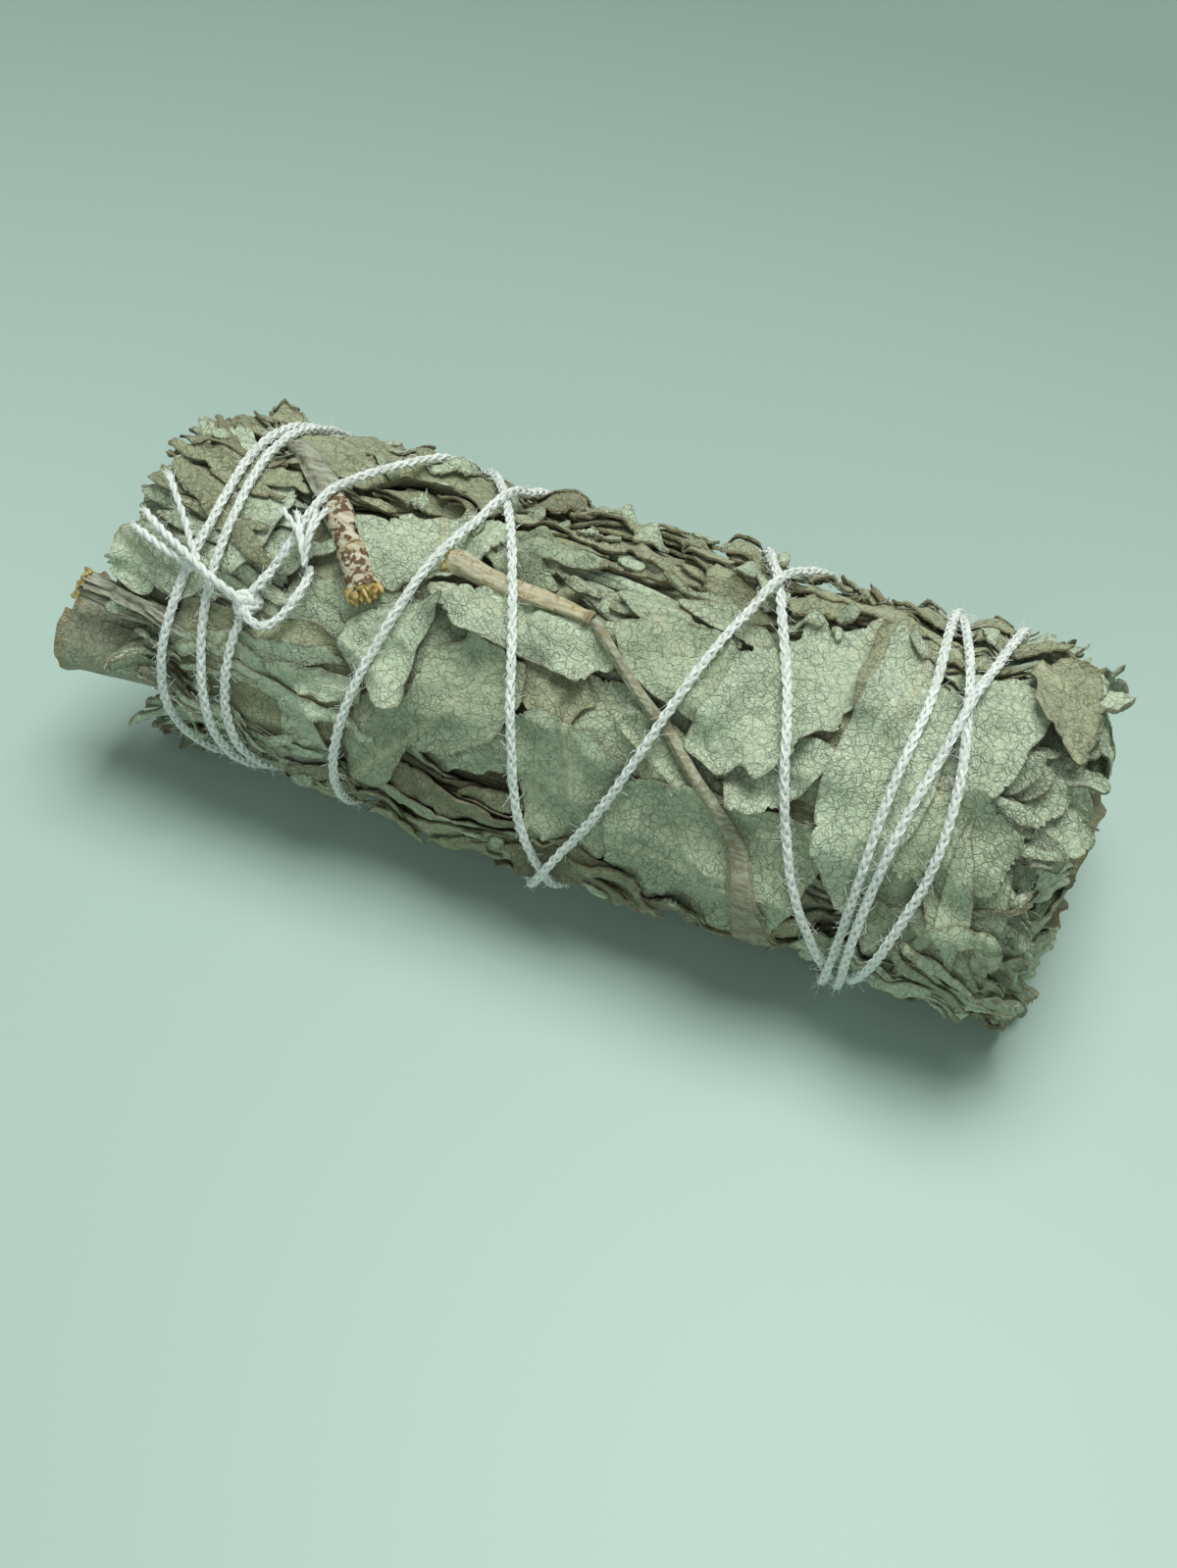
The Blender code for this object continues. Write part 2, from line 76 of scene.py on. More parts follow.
@dataclass(frozen=True)
class Bundle:
    """The round of the bundle that every piece is laid on, as in the part."""

    axis_height: float = 16.6
    middle_x: float = 1.9
    radius: float = 17.7
    belly_softness: float = 1.2
    round_length: float = 2 * math.pi * 17.7

    def degrees(self, angle: float | Array) -> float | Array:
        """The arc in millimetres for an angle from the top."""
        return np.radians(angle) * self.radius

    def world(self, x: Array, arc: Array, reach: Array) -> Array:
        """Turn places into points in metres, pressed flat where they would meet the table.

        Args:
            x: Along the bundle, in millimetres.
            arc: Round the bundle, in millimetres.
            reach: Out from its middle line, in millimetres.

        Returns:
            One row of three coordinates for each place.
        """
        turn = arc / self.radius
        up = self.axis_height + reach * np.cos(turn)
        soft = self.belly_softness
        up = np.where(up < soft, soft * np.exp((np.minimum(up, soft) - soft) / soft), up)
        across = -reach * np.sin(turn)
        return np.stack([x + self.middle_x + 0 * across, across, up], -1) * MM


BUNDLE = Bundle()


class Noise:
    """Smooth noise from a seeded lattice of values between -1 and 1."""

    size = 32

    def __init__(self, seed: int) -> None:
        """Draw the lattice."""
        self.values = np.random.default_rng(seed).uniform(-1, 1, (self.size,) * 3)

    def at(self, x: Array, y: Array, z: float | Array, scale: float) -> Array:
        """Read the noise.

        Args:
            x: First coordinate of each place.
            y: Second coordinate.
            z: Third coordinate, often a number for each piece.
            scale: The size of one bump, in the coordinates' units.

        Returns:
            One value for each place.
        """
        cells, parts = [], []
        for value in (x, y, z):
            scaled = np.asarray(value, float) / scale
            cell = np.floor(scaled)
            part = scaled - cell
            cells.append(cell.astype(int))
            parts.append(part * part * (3 - 2 * part))
        total = 0.0
        for corner in range(8):
            weight, index = 1.0, []
            for axis in range(3):
                step = corner >> axis & 1
                weight = weight * (parts[axis] if step else 1 - parts[axis])
                index.append((cells[axis] + step) % self.size)
            total = total + weight * self.values[tuple(index)]
        return total

    def fractal(self, x: Array, y: Array, z: float | Array, scale: float,
                octaves: int = 3) -> Array:
        """Add finer and weaker layers of noise, each at half the scale of the last.

        Args:
            x: First coordinate of each place.
            y: Second coordinate.
            z: Third coordinate.
            scale: The size of the largest bumps.
            octaves: How many layers there are.

        Returns:
            One value for each place.
        """
        total, weight = 0.0, 1.0
        for octave in range(octaves):
            total = total + weight * self.at(x, y, np.asarray(z) + 3.7 * octave, scale / 2**octave)
            weight *= 0.5
        return total


NOISE = Noise(SEED)


class Pile:
    """How far out the leaves laid so far reach, on a grid over the unrolled bundle."""

    step = 0.5
    start_x = -60.0
    rows = 240

    def __init__(self, base: float) -> None:
        """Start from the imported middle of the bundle.

        Args:
            base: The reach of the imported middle, in millimetres.
        """
        self.columns = int(round(BUNDLE.round_length / self.step))
        self.arc_step = BUNDLE.round_length / self.columns
        x = (np.arange(self.rows) * self.step + self.start_x)[:, None]
        arc = (np.arange(self.columns) * self.arc_step)[None, :]
        turn = arc / BUNDLE.radius
        lumps = NOISE.fractal(x * 0.6, 14 * np.cos(turn), 14 * np.sin(turn), 7.5, 2)
        ends = np.clip((np.abs(x) - 46.0) / 5.0, 0, 1) ** 2
        self.height = base + 0.75 * lumps - 1.8 * ends

    def cell(self, x: Array, arc: Array) -> tuple[Array, Array]:
        """The fractional row and column of each place."""
        row = np.clip((np.asarray(x) - self.start_x) / self.step, 0, self.rows - 1.001)
        return row, (np.asarray(arc) / self.arc_step) % self.columns

    def read(self, x: Array, arc: Array, grid: Array | None = None) -> Array:
        """Read the height, or another grid of the same shape, between its cells.

        Args:
            x: Along the bundle.
            arc: Round it.
            grid: The grid, or the height where it is left out.

        Returns:
            One value for each place.
        """
        grid = self.height if grid is None else grid
        row, column = self.cell(x, arc)
        r0, c0 = row.astype(int), column.astype(int)
        r, c = row - r0, column - c0
        c1 = (c0 + 1) % self.columns
        c0 = c0 % self.columns
        low = grid[r0, c0] * (1 - c) + grid[r0, c1] * c
        high = grid[r0 + 1, c0] * (1 - c) + grid[r0 + 1, c1] * c
        return low * (1 - r) + high * r

    def eased(self, passes: int) -> Array:
        """The height with its small steps smoothed away.

        Args:
            passes: How many times it is smoothed.

        Returns:
            The smoothed grid.
        """
        grid = self.height
        for _ in range(passes):
            grid = (grid + np.roll(grid, 1, 1) + np.roll(grid, -1, 1)) / 3
            padded = np.pad(grid, ((1, 1), (0, 0)), "edge")
            grid = (padded[:-2] + padded[1:-1] + padded[2:]) / 3
        return grid

    def add(self, x: Array, arc: Array, reach: Array) -> None:
        """Raise the pile to the leaf that was laid last.

        Args:
            x: Along the bundle.
            arc: Round it.
            reach: How far out the leaf reaches there.
        """
        row, column = self.cell(x, arc)
        for dr in (0, 1):
            for dc in (0, 1):
                index = (row.astype(int) + dr, (column.astype(int) + dc) % self.columns)
                np.maximum.at(self.height, index, reach)


@dataclass
class Press:
    """How the tight string pulls the leaves in along its way."""

    pile: Pile
    firm: float = 12.0
    tight: float = 18.5
    depth: float = 0.16
    width: float = 1.7
    pull: Array = field(default_factory=lambda: np.zeros(0))
    packing: Array = field(default_factory=lambda: np.zeros(0))

    def follow(self, x: Array, arc: Array) -> None:
        """Work out the pull at every place from the string's way over the leaves.

        Args:
            x: Along the bundle.
            arc: Round it.
        """
        rows, columns = self.pile.rows, self.pile.columns
        far = np.full((rows, columns), 99.0)
        window = int(7 / self.pile.step)
        offset = np.arange(-window, window + 1)
        row, column = self.pile.cell(x, arc)
        for r, c in zip(row, column):
            rr = np.clip(int(r) + offset, 0, rows - 1)
            cc = (int(c) + offset) % columns
            gap = np.hypot((int(r) + offset - r)[:, None] * self.pile.step,
                           (int(c) + offset - c)[None, :] * self.pile.arc_step)
            far[np.ix_(rr, cc)] = np.minimum(far[np.ix_(rr, cc)], gap)
        self.pull = self.depth * np.exp(-(far / self.width) ** 2)

    def tighten(self) -> None:
        """Pack the whole pile to an even roundness, and the pile's own height with it."""
        x = (np.arange(self.pile.rows) * self.pile.step + self.pile.start_x)[:, None]
        round_off = 1.3 * np.clip((np.abs(x) - 44) / 7, 0, 1.2) ** 2
        target = self.tight + 0.004 * x - round_off
        self.packing = (target - self.firm) / (self.pile.eased(60) - self.firm)
        columns = np.arange(self.pile.columns) * self.pile.arc_step
        gx, ga = np.broadcast_arrays(x, columns[None, :])
        self.pile.height = self.squeeze(gx, ga, self.pile.height)

    def squeeze(self, x: Array, arc: Array, reach: Array) -> Array:
        """Press places in towards the firm middle. It keeps their order."""
        part = self.pile.read(x, arc, self.packing) * (1 - self.pile.read(x, arc, self.pull))
        return np.where(reach > self.firm, self.firm + (reach - self.firm) * part, reach)


def distance_to(points: Array, outline: Array) -> tuple[Array, Array]:
    """How far each point is from a closed outline, negative inside, and the nearest place on it.

    Args:
        points: The points.
        outline: The corners of the outline.

    Returns:
        One distance and one nearest place for each point.
    """
    a, b = outline, np.roll(outline, -1, 0)
    run = b - a
    rel = points[:, None] - a[None]
    t = np.clip((rel * run).sum(-1) / np.maximum((run * run).sum(-1), 1e-9), 0, 1)
    near = a + run * t[..., None]
    gap = np.hypot(*(points[:, None] - near).transpose(2, 0, 1))
    best = gap.argmin(1)
    every = np.arange(len(points))
    y = points[:, 1][:, None]
    crosses = (a[:, 1] > y) != (b[:, 1] > y)
    slope = run[:, 0] / np.where(np.abs(run[:, 1]) < 1e-12, 1e-12, run[:, 1])
    inside = (crosses & (points[:, 0][:, None] < a[:, 0] + slope * (y - a[:, 1]))).sum(1) % 2
    return gap[every, best] * np.where(inside == 1, -1, 1), near[every, best]


def roughen(outline: Array, amount: float, number: float, tears: float = 0.0) -> Array:
    """Give an outline the small bites, teeth and tears of a dry leaf's edge.

    Args:
        outline: The corners, in millimetres.
        amount: How far the edge wanders.
        number: A number of the piece's own, which its teeth depend on.
        tears: How deep the rare tears are.

    Returns:
        The outline with a point about every half millimetre.
    """
    run = np.roll(outline, -1, 0) - outline
    points = []
    for start, step in zip(outline, run):
        count = max(int(np.hypot(*step) / 0.45), 1)
        points += [start + step * k / count for k in range(count)]
    points = np.array(points)
    for _ in range(2):
        points = (np.roll(points, 1, 0) + 2 * points + np.roll(points, -1, 0)) / 4
    along = np.roll(points, -1, 0) - np.roll(points, 1, 0)
    along /= np.maximum(np.hypot(*along.T), 1e-9)[:, None]
    normal = np.stack([along[:, 1], -along[:, 0]], 1)
    x, y = points.T
    wander = NOISE.fractal(x, y, number, 2.6, 3) * amount
    deep = np.clip(NOISE.at(x, y, number + 9.1, 1.7) - 0.35, 0, 1) * tears * 3
    area = 0.5 * np.sum(x * np.roll(y, -1) - np.roll(x, -1) * y)
    return points + normal * (wander - deep)[:, None] * np.sign(area)


def largest_part(quads: Array) -> Array:
    """Leave out the cells that a tear cut off from the largest part.

    Args:
        quads: The cells, as corner numbers.

    Returns:
        The cells that stay.
    """
    if not len(quads):
        return quads
    used, index = np.unique(quads, return_inverse=True)
    index = index.reshape(-1, 4)
    label = np.arange(len(used))
    while True:
        lower = label.copy()
        np.minimum.at(lower, index.ravel(), np.repeat(label[index].min(1), 4))
        lower = lower[lower]
        if (lower == label).all():
            break
        label = lower
    return quads[label[index[:, 0]] == np.bincount(label).argmax()]


@dataclass
class Sheet:
    """A flat sheet cut to an outline, as a grid of cells along its midrib."""

    places: Array
    quads: Array
    edge: Array
    along: Array
    across: Array

    @classmethod
    def cut(cls, outline: Array, heading: float, cell: float = 0.5) -> "Sheet":
        """Cut a sheet.

        Args:
            outline: The closed outline in (x, arc), in millimetres.
            heading: The midrib's direction there, in degrees from +X.
            cell: The size of a cell.

        Returns:
            The sheet, its edge cells drawn out to the outline.
        """
        turned = spin(heading)
        local = outline @ turned.T
        low, high = local.min(0) - cell, local.max(0) + cell
        count = np.ceil((high - low) / cell).astype(int) + 1
        gx, gy = np.meshgrid(np.arange(count[0]), np.arange(count[1]), indexing="ij")
        nodes = np.stack([gx.ravel(), gy.ravel()], 1) * cell + low
        gap, near = distance_to(nodes, local)
        inside = (gap < 0.45 * cell).reshape(count)
        deep = gap.reshape(count)
        whole = inside[:-1, :-1] & inside[1:, :-1] & inside[:-1, 1:] & inside[1:, 1:]
        middle = (deep[:-1, :-1] + deep[1:, :-1] + deep[:-1, 1:] + deep[1:, 1:]) / 4
        ix, iy = np.nonzero(whole & (middle < 0))
        number = gx * count[1] + gy
        quads = np.stack([number[ix, iy], number[ix + 1, iy], number[ix + 1, iy + 1],
                          number[ix, iy + 1]], 1)
        quads = largest_part(quads)
        used, quads = np.unique(quads, return_inverse=True)
        quads = quads.reshape(-1, 4)
        corners = np.bincount(quads.ravel(), minlength=len(used))
        nodes, gap, near = nodes[used], gap[used], near[used]
        rim = (corners < 4) & (np.abs(gap) < 0.8 * cell)
        nodes = np.where(rim[:, None], near, nodes)
        edge = np.where(rim, 0.0, np.maximum(-gap, 0.0))
        centre = 0.5 * (low[1] + high[1])
        return cls(nodes @ turned, quads, edge, nodes[:, 0] - low[0], nodes[:, 1] - centre)

    def ease(self, values: Array, floor: Array, passes: int) -> Array:
        """Smooth values over the sheet, never below a floor.

        Args:
            values: One value for each point.
            floor: The least that each may be.
            passes: How many times they are smoothed.

        Returns:
            The smoothed values.
        """
        a = self.quads.ravel()
        b = np.roll(self.quads, -1, 1).ravel()
        count = np.bincount(a, minlength=len(values)) + np.bincount(b, minlength=len(values))
        for _ in range(passes):
            total = np.bincount(a, values[b], len(values)) + np.bincount(b, values[a], len(values))
            values = np.maximum(0.5 * values + 0.5 * total / count, floor)
        return values


@dataclass
class Solid:
    """Points, faces and point values gathered for one piece."""

    points: list[Array] = field(default_factory=list)
    faces: list[list[int]] = field(default_factory=list)
    values: dict[str, list[Array]] = field(default_factory=dict)
    count: int = 0

    def add(self, points: Array, faces: list[list[int]], **values: Array | float) -> None:
        """Add a body of points and faces, with its values for each point.

        Args:
            points: The points.
            faces: The faces, as numbers of those points.
            values: Tone, edge, vein and under, where they aren't 0.
        """
        self.faces += [[index + self.count for index in face] for face in faces]
        self.points.append(points)
        self.count += len(points)
        for name in ("tone", "edge", "vein", "under"):
            value = np.broadcast_to(np.asarray(values.get(name, 0.0), float), len(points))
            self.values.setdefault(name, []).append(value)

    def press(self, press: Press) -> None:
        """Press the places gathered so far and turn them into points.

        Args:
            press: The press.
        """
        places = np.concatenate(self.points)
        x, arc, reach = places.T
        self.points = [BUNDLE.world(x, arc, press.squeeze(x, arc, reach))]

    def add_sheet(self, quads: Array, top: Array, under: Array, **values: Array | float) -> None:
        """Add a thin sheet: its top, its underside and the wall between them at the edge.

        Args:
            quads: Its cells, as point numbers.
            top: The upper points.
            under: The lower points, in the same order.
            values: Point values.
        """
        count = len(top)
        edges = {}
        for quad in quads.tolist():
            for a, b in zip(quad, quad[1:] + quad[:1]):
                if (b, a) in edges:
                    del edges[(b, a)]
                else:
                    edges[(a, b)] = True
        faces = quads.tolist()
        faces += [[index + count for index in quad[::-1]] for quad in quads.tolist()]
        faces += [[b, a, a + count, b + count] for a, b in edges]
        doubled = {}
        for name, value in values.items():
            value = np.broadcast_to(np.asarray(value, float), count)
            doubled[name] = np.concatenate([value, value])
        # under marks the underside points, which the leaf finishes darken as painted shade.
        doubled["under"] = np.concatenate([np.zeros(count), np.ones(count)])
        self.add(np.concatenate([top, under]), faces, **doubled)

    def piece(self, name: str, material: bpy.types.Material, slot: Slot,
              nodes: tuple[str, ...] = ()) -> None:
        """Make the object, let it ride on the bunch and stand for its CAD nodes.

        Args:
            name: The piece's name.
            material: Its finish.
            slot: The record's slot for its finish; it is not used.
            nodes: The CAD nodes that it stands for.
        """
        mesh = bpy.data.meshes.new(name)
        mesh.from_pydata(np.concatenate(self.points).tolist(), [], self.faces)
        for key, chunks in self.values.items():
            layer = mesh.attributes.new(key, "FLOAT", "POINT")
            layer.data.foreach_set("value", np.concatenate(chunks).astype(np.float32))
        mesh.polygons.foreach_set("use_smooth", [True] * len(mesh.polygons))
        mesh.set_sharp_from_angle(angle=math.radians(SHARP_EDGE))
        mesh.materials.append(material)
        obj = bpy.data.objects.new(name, mesh)
        bpy.context.scene.collection.objects.link(obj)
        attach(obj, "root")
        if nodes:
            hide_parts(*nodes)
        LOG.info("%s: %d faces", name, len(mesh.polygons))


class Nodes:
    """A small helper that wires a material's nodes."""

    def __init__(self, name: str) -> None:
        """Start a material with one Principled shader.

        Args:
            name: The material's name.
        """
        self.material = bpy.data.materials.new(name)
        self.material.use_nodes = True
        self.tree = self.material.node_tree
        self.shader = self.tree.nodes["Principled BSDF"]

    def set(self, socket: bpy.types.NodeSocket, value: object) -> None:
        """Link a socket to another node's output, or give it a plain value.

        Args:
            socket: The socket.
            value: An output, a number or a colour.
        """
        if isinstance(value, bpy.types.NodeSocket):
            self.tree.links.new(value, socket)
        elif value is not None:
            if isinstance(value, tuple) and len(value) == 3 and len(socket.default_value) == 4:
                value = (*value, 1.0)
            socket.default_value = value

    def node(self, kind: str, inputs: dict[str | int, object], out: str | int = 0,
             **settings: object) -> bpy.types.NodeSocket:
        """Add a node with its settings and inputs.

        Args:
            kind: The node's type.
            inputs: What its inputs are given.
            out: Which output is wanted.
            settings: Its other settings.

        Returns:
            That output.
        """
        made = self.tree.nodes.new(kind)
        for name, value in settings.items():
            setattr(made, name, value)
        for name, value in inputs.items():
            self.set(made.inputs[name], value)
        return made.outputs[out]

    def maths(self, operation: str, a: object, b: object = None, clamp: bool = False
              ) -> bpy.types.NodeSocket:
        """Do a sum on one or two values."""
        return self.node("ShaderNodeMath", {0: a, 1: b}, operation=operation, use_clamp=clamp)

    def value(self, name: str) -> bpy.types.NodeSocket:
        """Read one of the piece's point values."""
        return self.node("ShaderNodeAttribute", {}, "Fac", attribute_name=name)

    def spread(self, value: object, low: float, high: float, to: tuple[float, float] = (0, 1)
               ) -> bpy.types.NodeSocket:
        """Map a value from one range to another, held at its ends."""
        return self.node("ShaderNodeMapRange", {"Value": value, "From Min": low, "From Max": high,
                                                "To Min": to[0], "To Max": to[1]})

    def mix(self, part: object, a: object, b: object) -> bpy.types.NodeSocket:
        """Mix two colours.

        Args:
            part: How much of the second there is.
            a: The first colour.
            b: The second colour.

        Returns:
            The mixed colour.
        """
        made = self.tree.nodes.new("ShaderNodeMix")
        made.data_type = "RGBA"
        self.set(made.inputs["Factor"], part)
        self.set(made.inputs["A"], a)
        self.set(made.inputs["B"], b)
        return made.outputs["Result"]

    def place(self, stretch: tuple[float, float, float] = (1, 1, 1)) -> bpy.types.NodeSocket:
        """Object coordinates in millimetres, stretched along the axes.

        Args:
            stretch: How close the detail lies along each axis.

        Returns:
            The coordinates.
        """
        coordinates = self.node("ShaderNodeTexCoord", {}, "Object")
        scale = tuple(part / MM for part in stretch)
        return self.node("ShaderNodeMapping", {"Vector": coordinates, "Scale": scale})

    def noise(self, place: object, scale: float, detail: float = 3.0, distortion: float = 0.0
              ) -> bpy.types.NodeSocket:
        """Noise with so many bumps to the millimetre."""
        return self.node("ShaderNodeTexNoise", {"Vector": place, "Scale": scale, "Detail": detail,
                                                "Distortion": distortion}, "Fac")

    def bump(self, height: object, depth: float) -> bpy.types.NodeSocket:
        """Turn a height into a normal; the depth is in millimetres."""
        return self.node("ShaderNodeBump", {"Height": height, "Distance": depth * MM,
                                            "Strength": 1.0}, "Normal")


Colour = tuple[float, float, float]


@dataclass(frozen=True)
class LeafFinish:
    """A dry sage leaf: a felt of pale hairs over green, netted with fine sunken veins."""

    name: str
    pale: Colour
    body: Colour
    deep: Colour
    rim: Colour = (0.20, 0.13, 0.06)
    rib: Colour = (0.64, 0.64, 0.42)
    net_size: float = 1.0
    net_depth: float = 0.14
    net_shade: float = 0.5
    rough: float = 0.88

    def material(self) -> bpy.types.Material:
        """Make the leaf's material.

        Returns:
            The material, which reads the tone, edge, vein and under values of its piece.
        """
        made = Nodes(self.name)
        place = made.place()
        wander = made.node("ShaderNodeTexNoise", {"Vector": place, "Scale": 0.9, "Detail": 2.0},
                           "Color")
        bent = made.node("ShaderNodeVectorMath", {0: place, 1: wander}, operation="ADD")
        net = made.node("ShaderNodeTexVoronoi", {"Vector": bent, "Scale": 1.0 / self.net_size},
                        "Distance", feature="DISTANCE_TO_EDGE")
        fine = made.node("ShaderNodeTexVoronoi", {"Vector": bent, "Scale": 2.7 / self.net_size},
                         "Distance", feature="DISTANCE_TO_EDGE")
        coarse_line = made.spread(net, 0.0, 0.11, (1, 0))
        fine_line = made.spread(fine, 0.0, 0.14, (1, 0))
        lines = made.maths("MAXIMUM", coarse_line, made.maths("MULTIPLY", fine_line, 0.45))
        patch = made.spread(made.noise(place, 0.11, 2.0), 0.40, 0.62)
        lines = made.maths("MULTIPLY", lines, made.spread(patch, 0, 1, (0.6, 1.0)))
        drift = made.maths("ABSOLUTE", made.maths("SUBTRACT", made.noise(place, 0.42, 3.0, 1.4), 0.5))
        cracks = made.spread(drift, 0.0, 0.012, (1, 0))
        cloud = made.spread(made.noise(place, 0.22, 4.0, 0.6), 0.32, 0.68, (0.2, 0.8))
        felt = made.noise(place, 5.5, 3.0)
        tone = made.value("tone")
        colour = made.mix(cloud, self.body, self.pale)
        colour = made.mix(made.spread(tone, 0.0, 1.0, (0, 0.75)), colour, self.pale)
        colour = made.mix(made.spread(tone, 0.0, -1.0, (0, 0.8)), colour, self.deep)
        colour = made.mix(made.spread(felt, 0.42, 0.64, (0, 0.28)), colour, self.pale)
        speck = made.spread(made.noise(place, 2.4, 2.0), 0.63, 0.72, (0, 0.4))
        colour = made.mix(speck, colour, self.deep)
        colour = made.mix(made.maths("MULTIPLY", lines, self.net_shade), colour, self.deep)
        # The cracks darken the leaf a little: painted shade in the sunken cracks.
        colour = made.mix(made.maths("MULTIPLY", cracks, 0.35), colour, self.deep)
        colour = made.mix(made.maths("MULTIPLY", made.value("vein"), 0.75), colour, self.rib)
        # Undersides darken halfway to the deep colour: painted shade for undersides that lie in the
        # crevices.
        colour = made.mix(made.maths("MULTIPLY", made.value("under"), 0.5), colour, self.deep)
        ragged = made.maths("ADD", made.value("edge"),
                            made.spread(made.noise(place, 1.1), 0.3, 0.7, (-0.10, 0.30)))
        colour = made.mix(made.spread(ragged, 0.10, 0.30, (0.55, 0)), colour, self.rim)
        crust = made.spread(made.noise(place, 0.5, 3.0), 0.62, 0.70, (0, 0.2))
        colour = made.mix(crust, colour, self.rib)
        made.set(made.shader.inputs["Base Color"], colour)
        made.shader.inputs["Roughness"].default_value = self.rough
        made.shader.inputs["Specular IOR Level"].default_value = 0.22
        made.shader.inputs["Sheen Weight"].default_value = 0.12
        made.shader.inputs["Sheen Roughness"].default_value = 0.6
        height = made.maths("SUBTRACT", made.maths("MULTIPLY", felt, 0.8), lines)
        height = made.maths("SUBTRACT", height, cracks)
        height = made.maths("ADD", height, made.maths("MULTIPLY", made.noise(place, 1.3, 4.0), 1.2))
        made.set(made.shader.inputs["Normal"], made.bump(height, self.net_depth))
        return made.material


@dataclass(frozen=True)
class WoodFinish:
    """A dry stem, stalk or bark, ribbed along its length and blotched."""

    name: str
    light: Colour
    dark: Colour
    blotch: Colour
    blotches: float = 0.5
    grain: float = 3.0
    depth: float = 0.10
    mark_size: float = 1.3
    grey: Colour = (0.42, 0.44, 0.34)

    def material(self) -> bpy.types.Material:
        """Make the wood's material, its grain running along the bundle.

        Returns:
            The material, which reads the vein, edge and under values.
        """
        made = Nodes(self.name)
        place = made.place((0.16, 1.0, 1.0))
        ribs = made.noise(place, self.grain, 4.0, 0.4)
        colour = made.mix(made.spread(ribs, 0.35, 0.62), self.dark, self.light)
        marks = made.noise(made.place(), self.mark_size, 5.0, 0.5)
        edge = 0.62 - 0.22 * self.blotches
        spots = made.maths("SUBTRACT", made.spread(marks, edge, edge + 0.04),
                           made.value("under"), True)
        colour = made.mix(spots, colour, self.blotch)
        worn = made.mix(made.spread(ribs, 0.35, 0.6), (0.20, 0.18, 0.13), self.grey)
        colour = made.mix(made.value("under"), colour, worn)
        pith = made.mix(made.spread(made.noise(made.place(), 1.6, 4.0), 0.45, 0.6),
                        (0.62, 0.47, 0.15), (0.28, 0.15, 0.04))
        colour = made.mix(made.value("vein"), colour, pith)
        colour = made.mix(made.value("edge"), colour, (0.10, 0.05, 0.02))
        made.set(made.shader.inputs["Base Color"], colour)
        made.shader.inputs["Roughness"].default_value = 0.8
        made.shader.inputs["Specular IOR Level"].default_value = 0.3
        made.set(made.shader.inputs["Normal"], made.bump(ribs, self.depth))
        return made.material


@dataclass(frozen=True)
class StringFinish:
    """Soft white cotton."""

    name: str = "cotton"
    light: Colour = (0.92, 0.95, 0.92)
    shade: Colour = (0.64, 0.69, 0.62)

    def material(self) -> bpy.types.Material:
        """Make the cotton's material: matt, a little darker between its strands as painted shade.

        Returns:
            The material, which reads the edge value.
        """
        made = Nodes(self.name)
        place = made.place()
        fibres = made.noise(place, 9.0, 3.0, 0.5)
        colour = made.mix(made.spread(fibres, 0.3, 0.6, (0.65, 1)), self.shade, self.light)
        # The edge value darkens the cotton deep between its strands: painted shade.
        colour = made.mix(made.maths("MULTIPLY", made.value("edge"), 0.75), colour, self.shade)
        made.set(made.shader.inputs["Base Color"], colour)
        made.shader.inputs["Roughness"].default_value = 0.95
        made.shader.inputs["Specular IOR Level"].default_value = 0.15
        made.shader.inputs["Sheen Weight"].default_value = 0.25
        made.set(made.shader.inputs["Normal"], made.bump(fibres, 0.05))
        return made.material


class Palette:
    """Every finish of the bunch, made once."""

    def __init__(self) -> None:
        """Make the materials."""
        self.leaf = {
            Slot.GREY: LeafFinish("pale_felted_leaf", (0.67, 0.77, 0.57), (0.49, 0.59, 0.41),
                                  (0.20, 0.25, 0.16)).material(),
            Slot.GREEN: LeafFinish("green_netted_leaf", (0.56, 0.65, 0.46), (0.42, 0.50, 0.33),
                                   (0.15, 0.19, 0.10)).material(),
            Slot.OLIVE: LeafFinish("old_olive_leaf", (0.46, 0.49, 0.31), (0.33, 0.36, 0.21),
                                   (0.12, 0.11, 0.06), net_shade=0.3).material(),
        }
        self.stem = WoodFinish("pale_dry_stem", (0.64, 0.62, 0.46), (0.40, 0.36, 0.24),
                               (0.33, 0.26, 0.15), 0.25).material()
        self.stalk = WoodFinish("leaf_stalk_skin", (0.45, 0.46, 0.34), (0.26, 0.25, 0.17),
                                (0.30, 0.26, 0.16), 0.3).material()
        self.bark = WoodFinish("mottled_bark", (0.66, 0.63, 0.50), (0.42, 0.36, 0.24),
                               (0.15, 0.09, 0.045), 0.5, 2.0, 0.14, 1.15).material()
        self.roll = LeafFinish("rolled_leaf_skin", (0.52, 0.53, 0.38), (0.35, 0.36, 0.24),
                               (0.14, 0.15, 0.08), rim=(0.40, 0.21, 0.05), net_size=0.8,
                               net_shade=0.2).material()
        self.string = StringFinish().material()


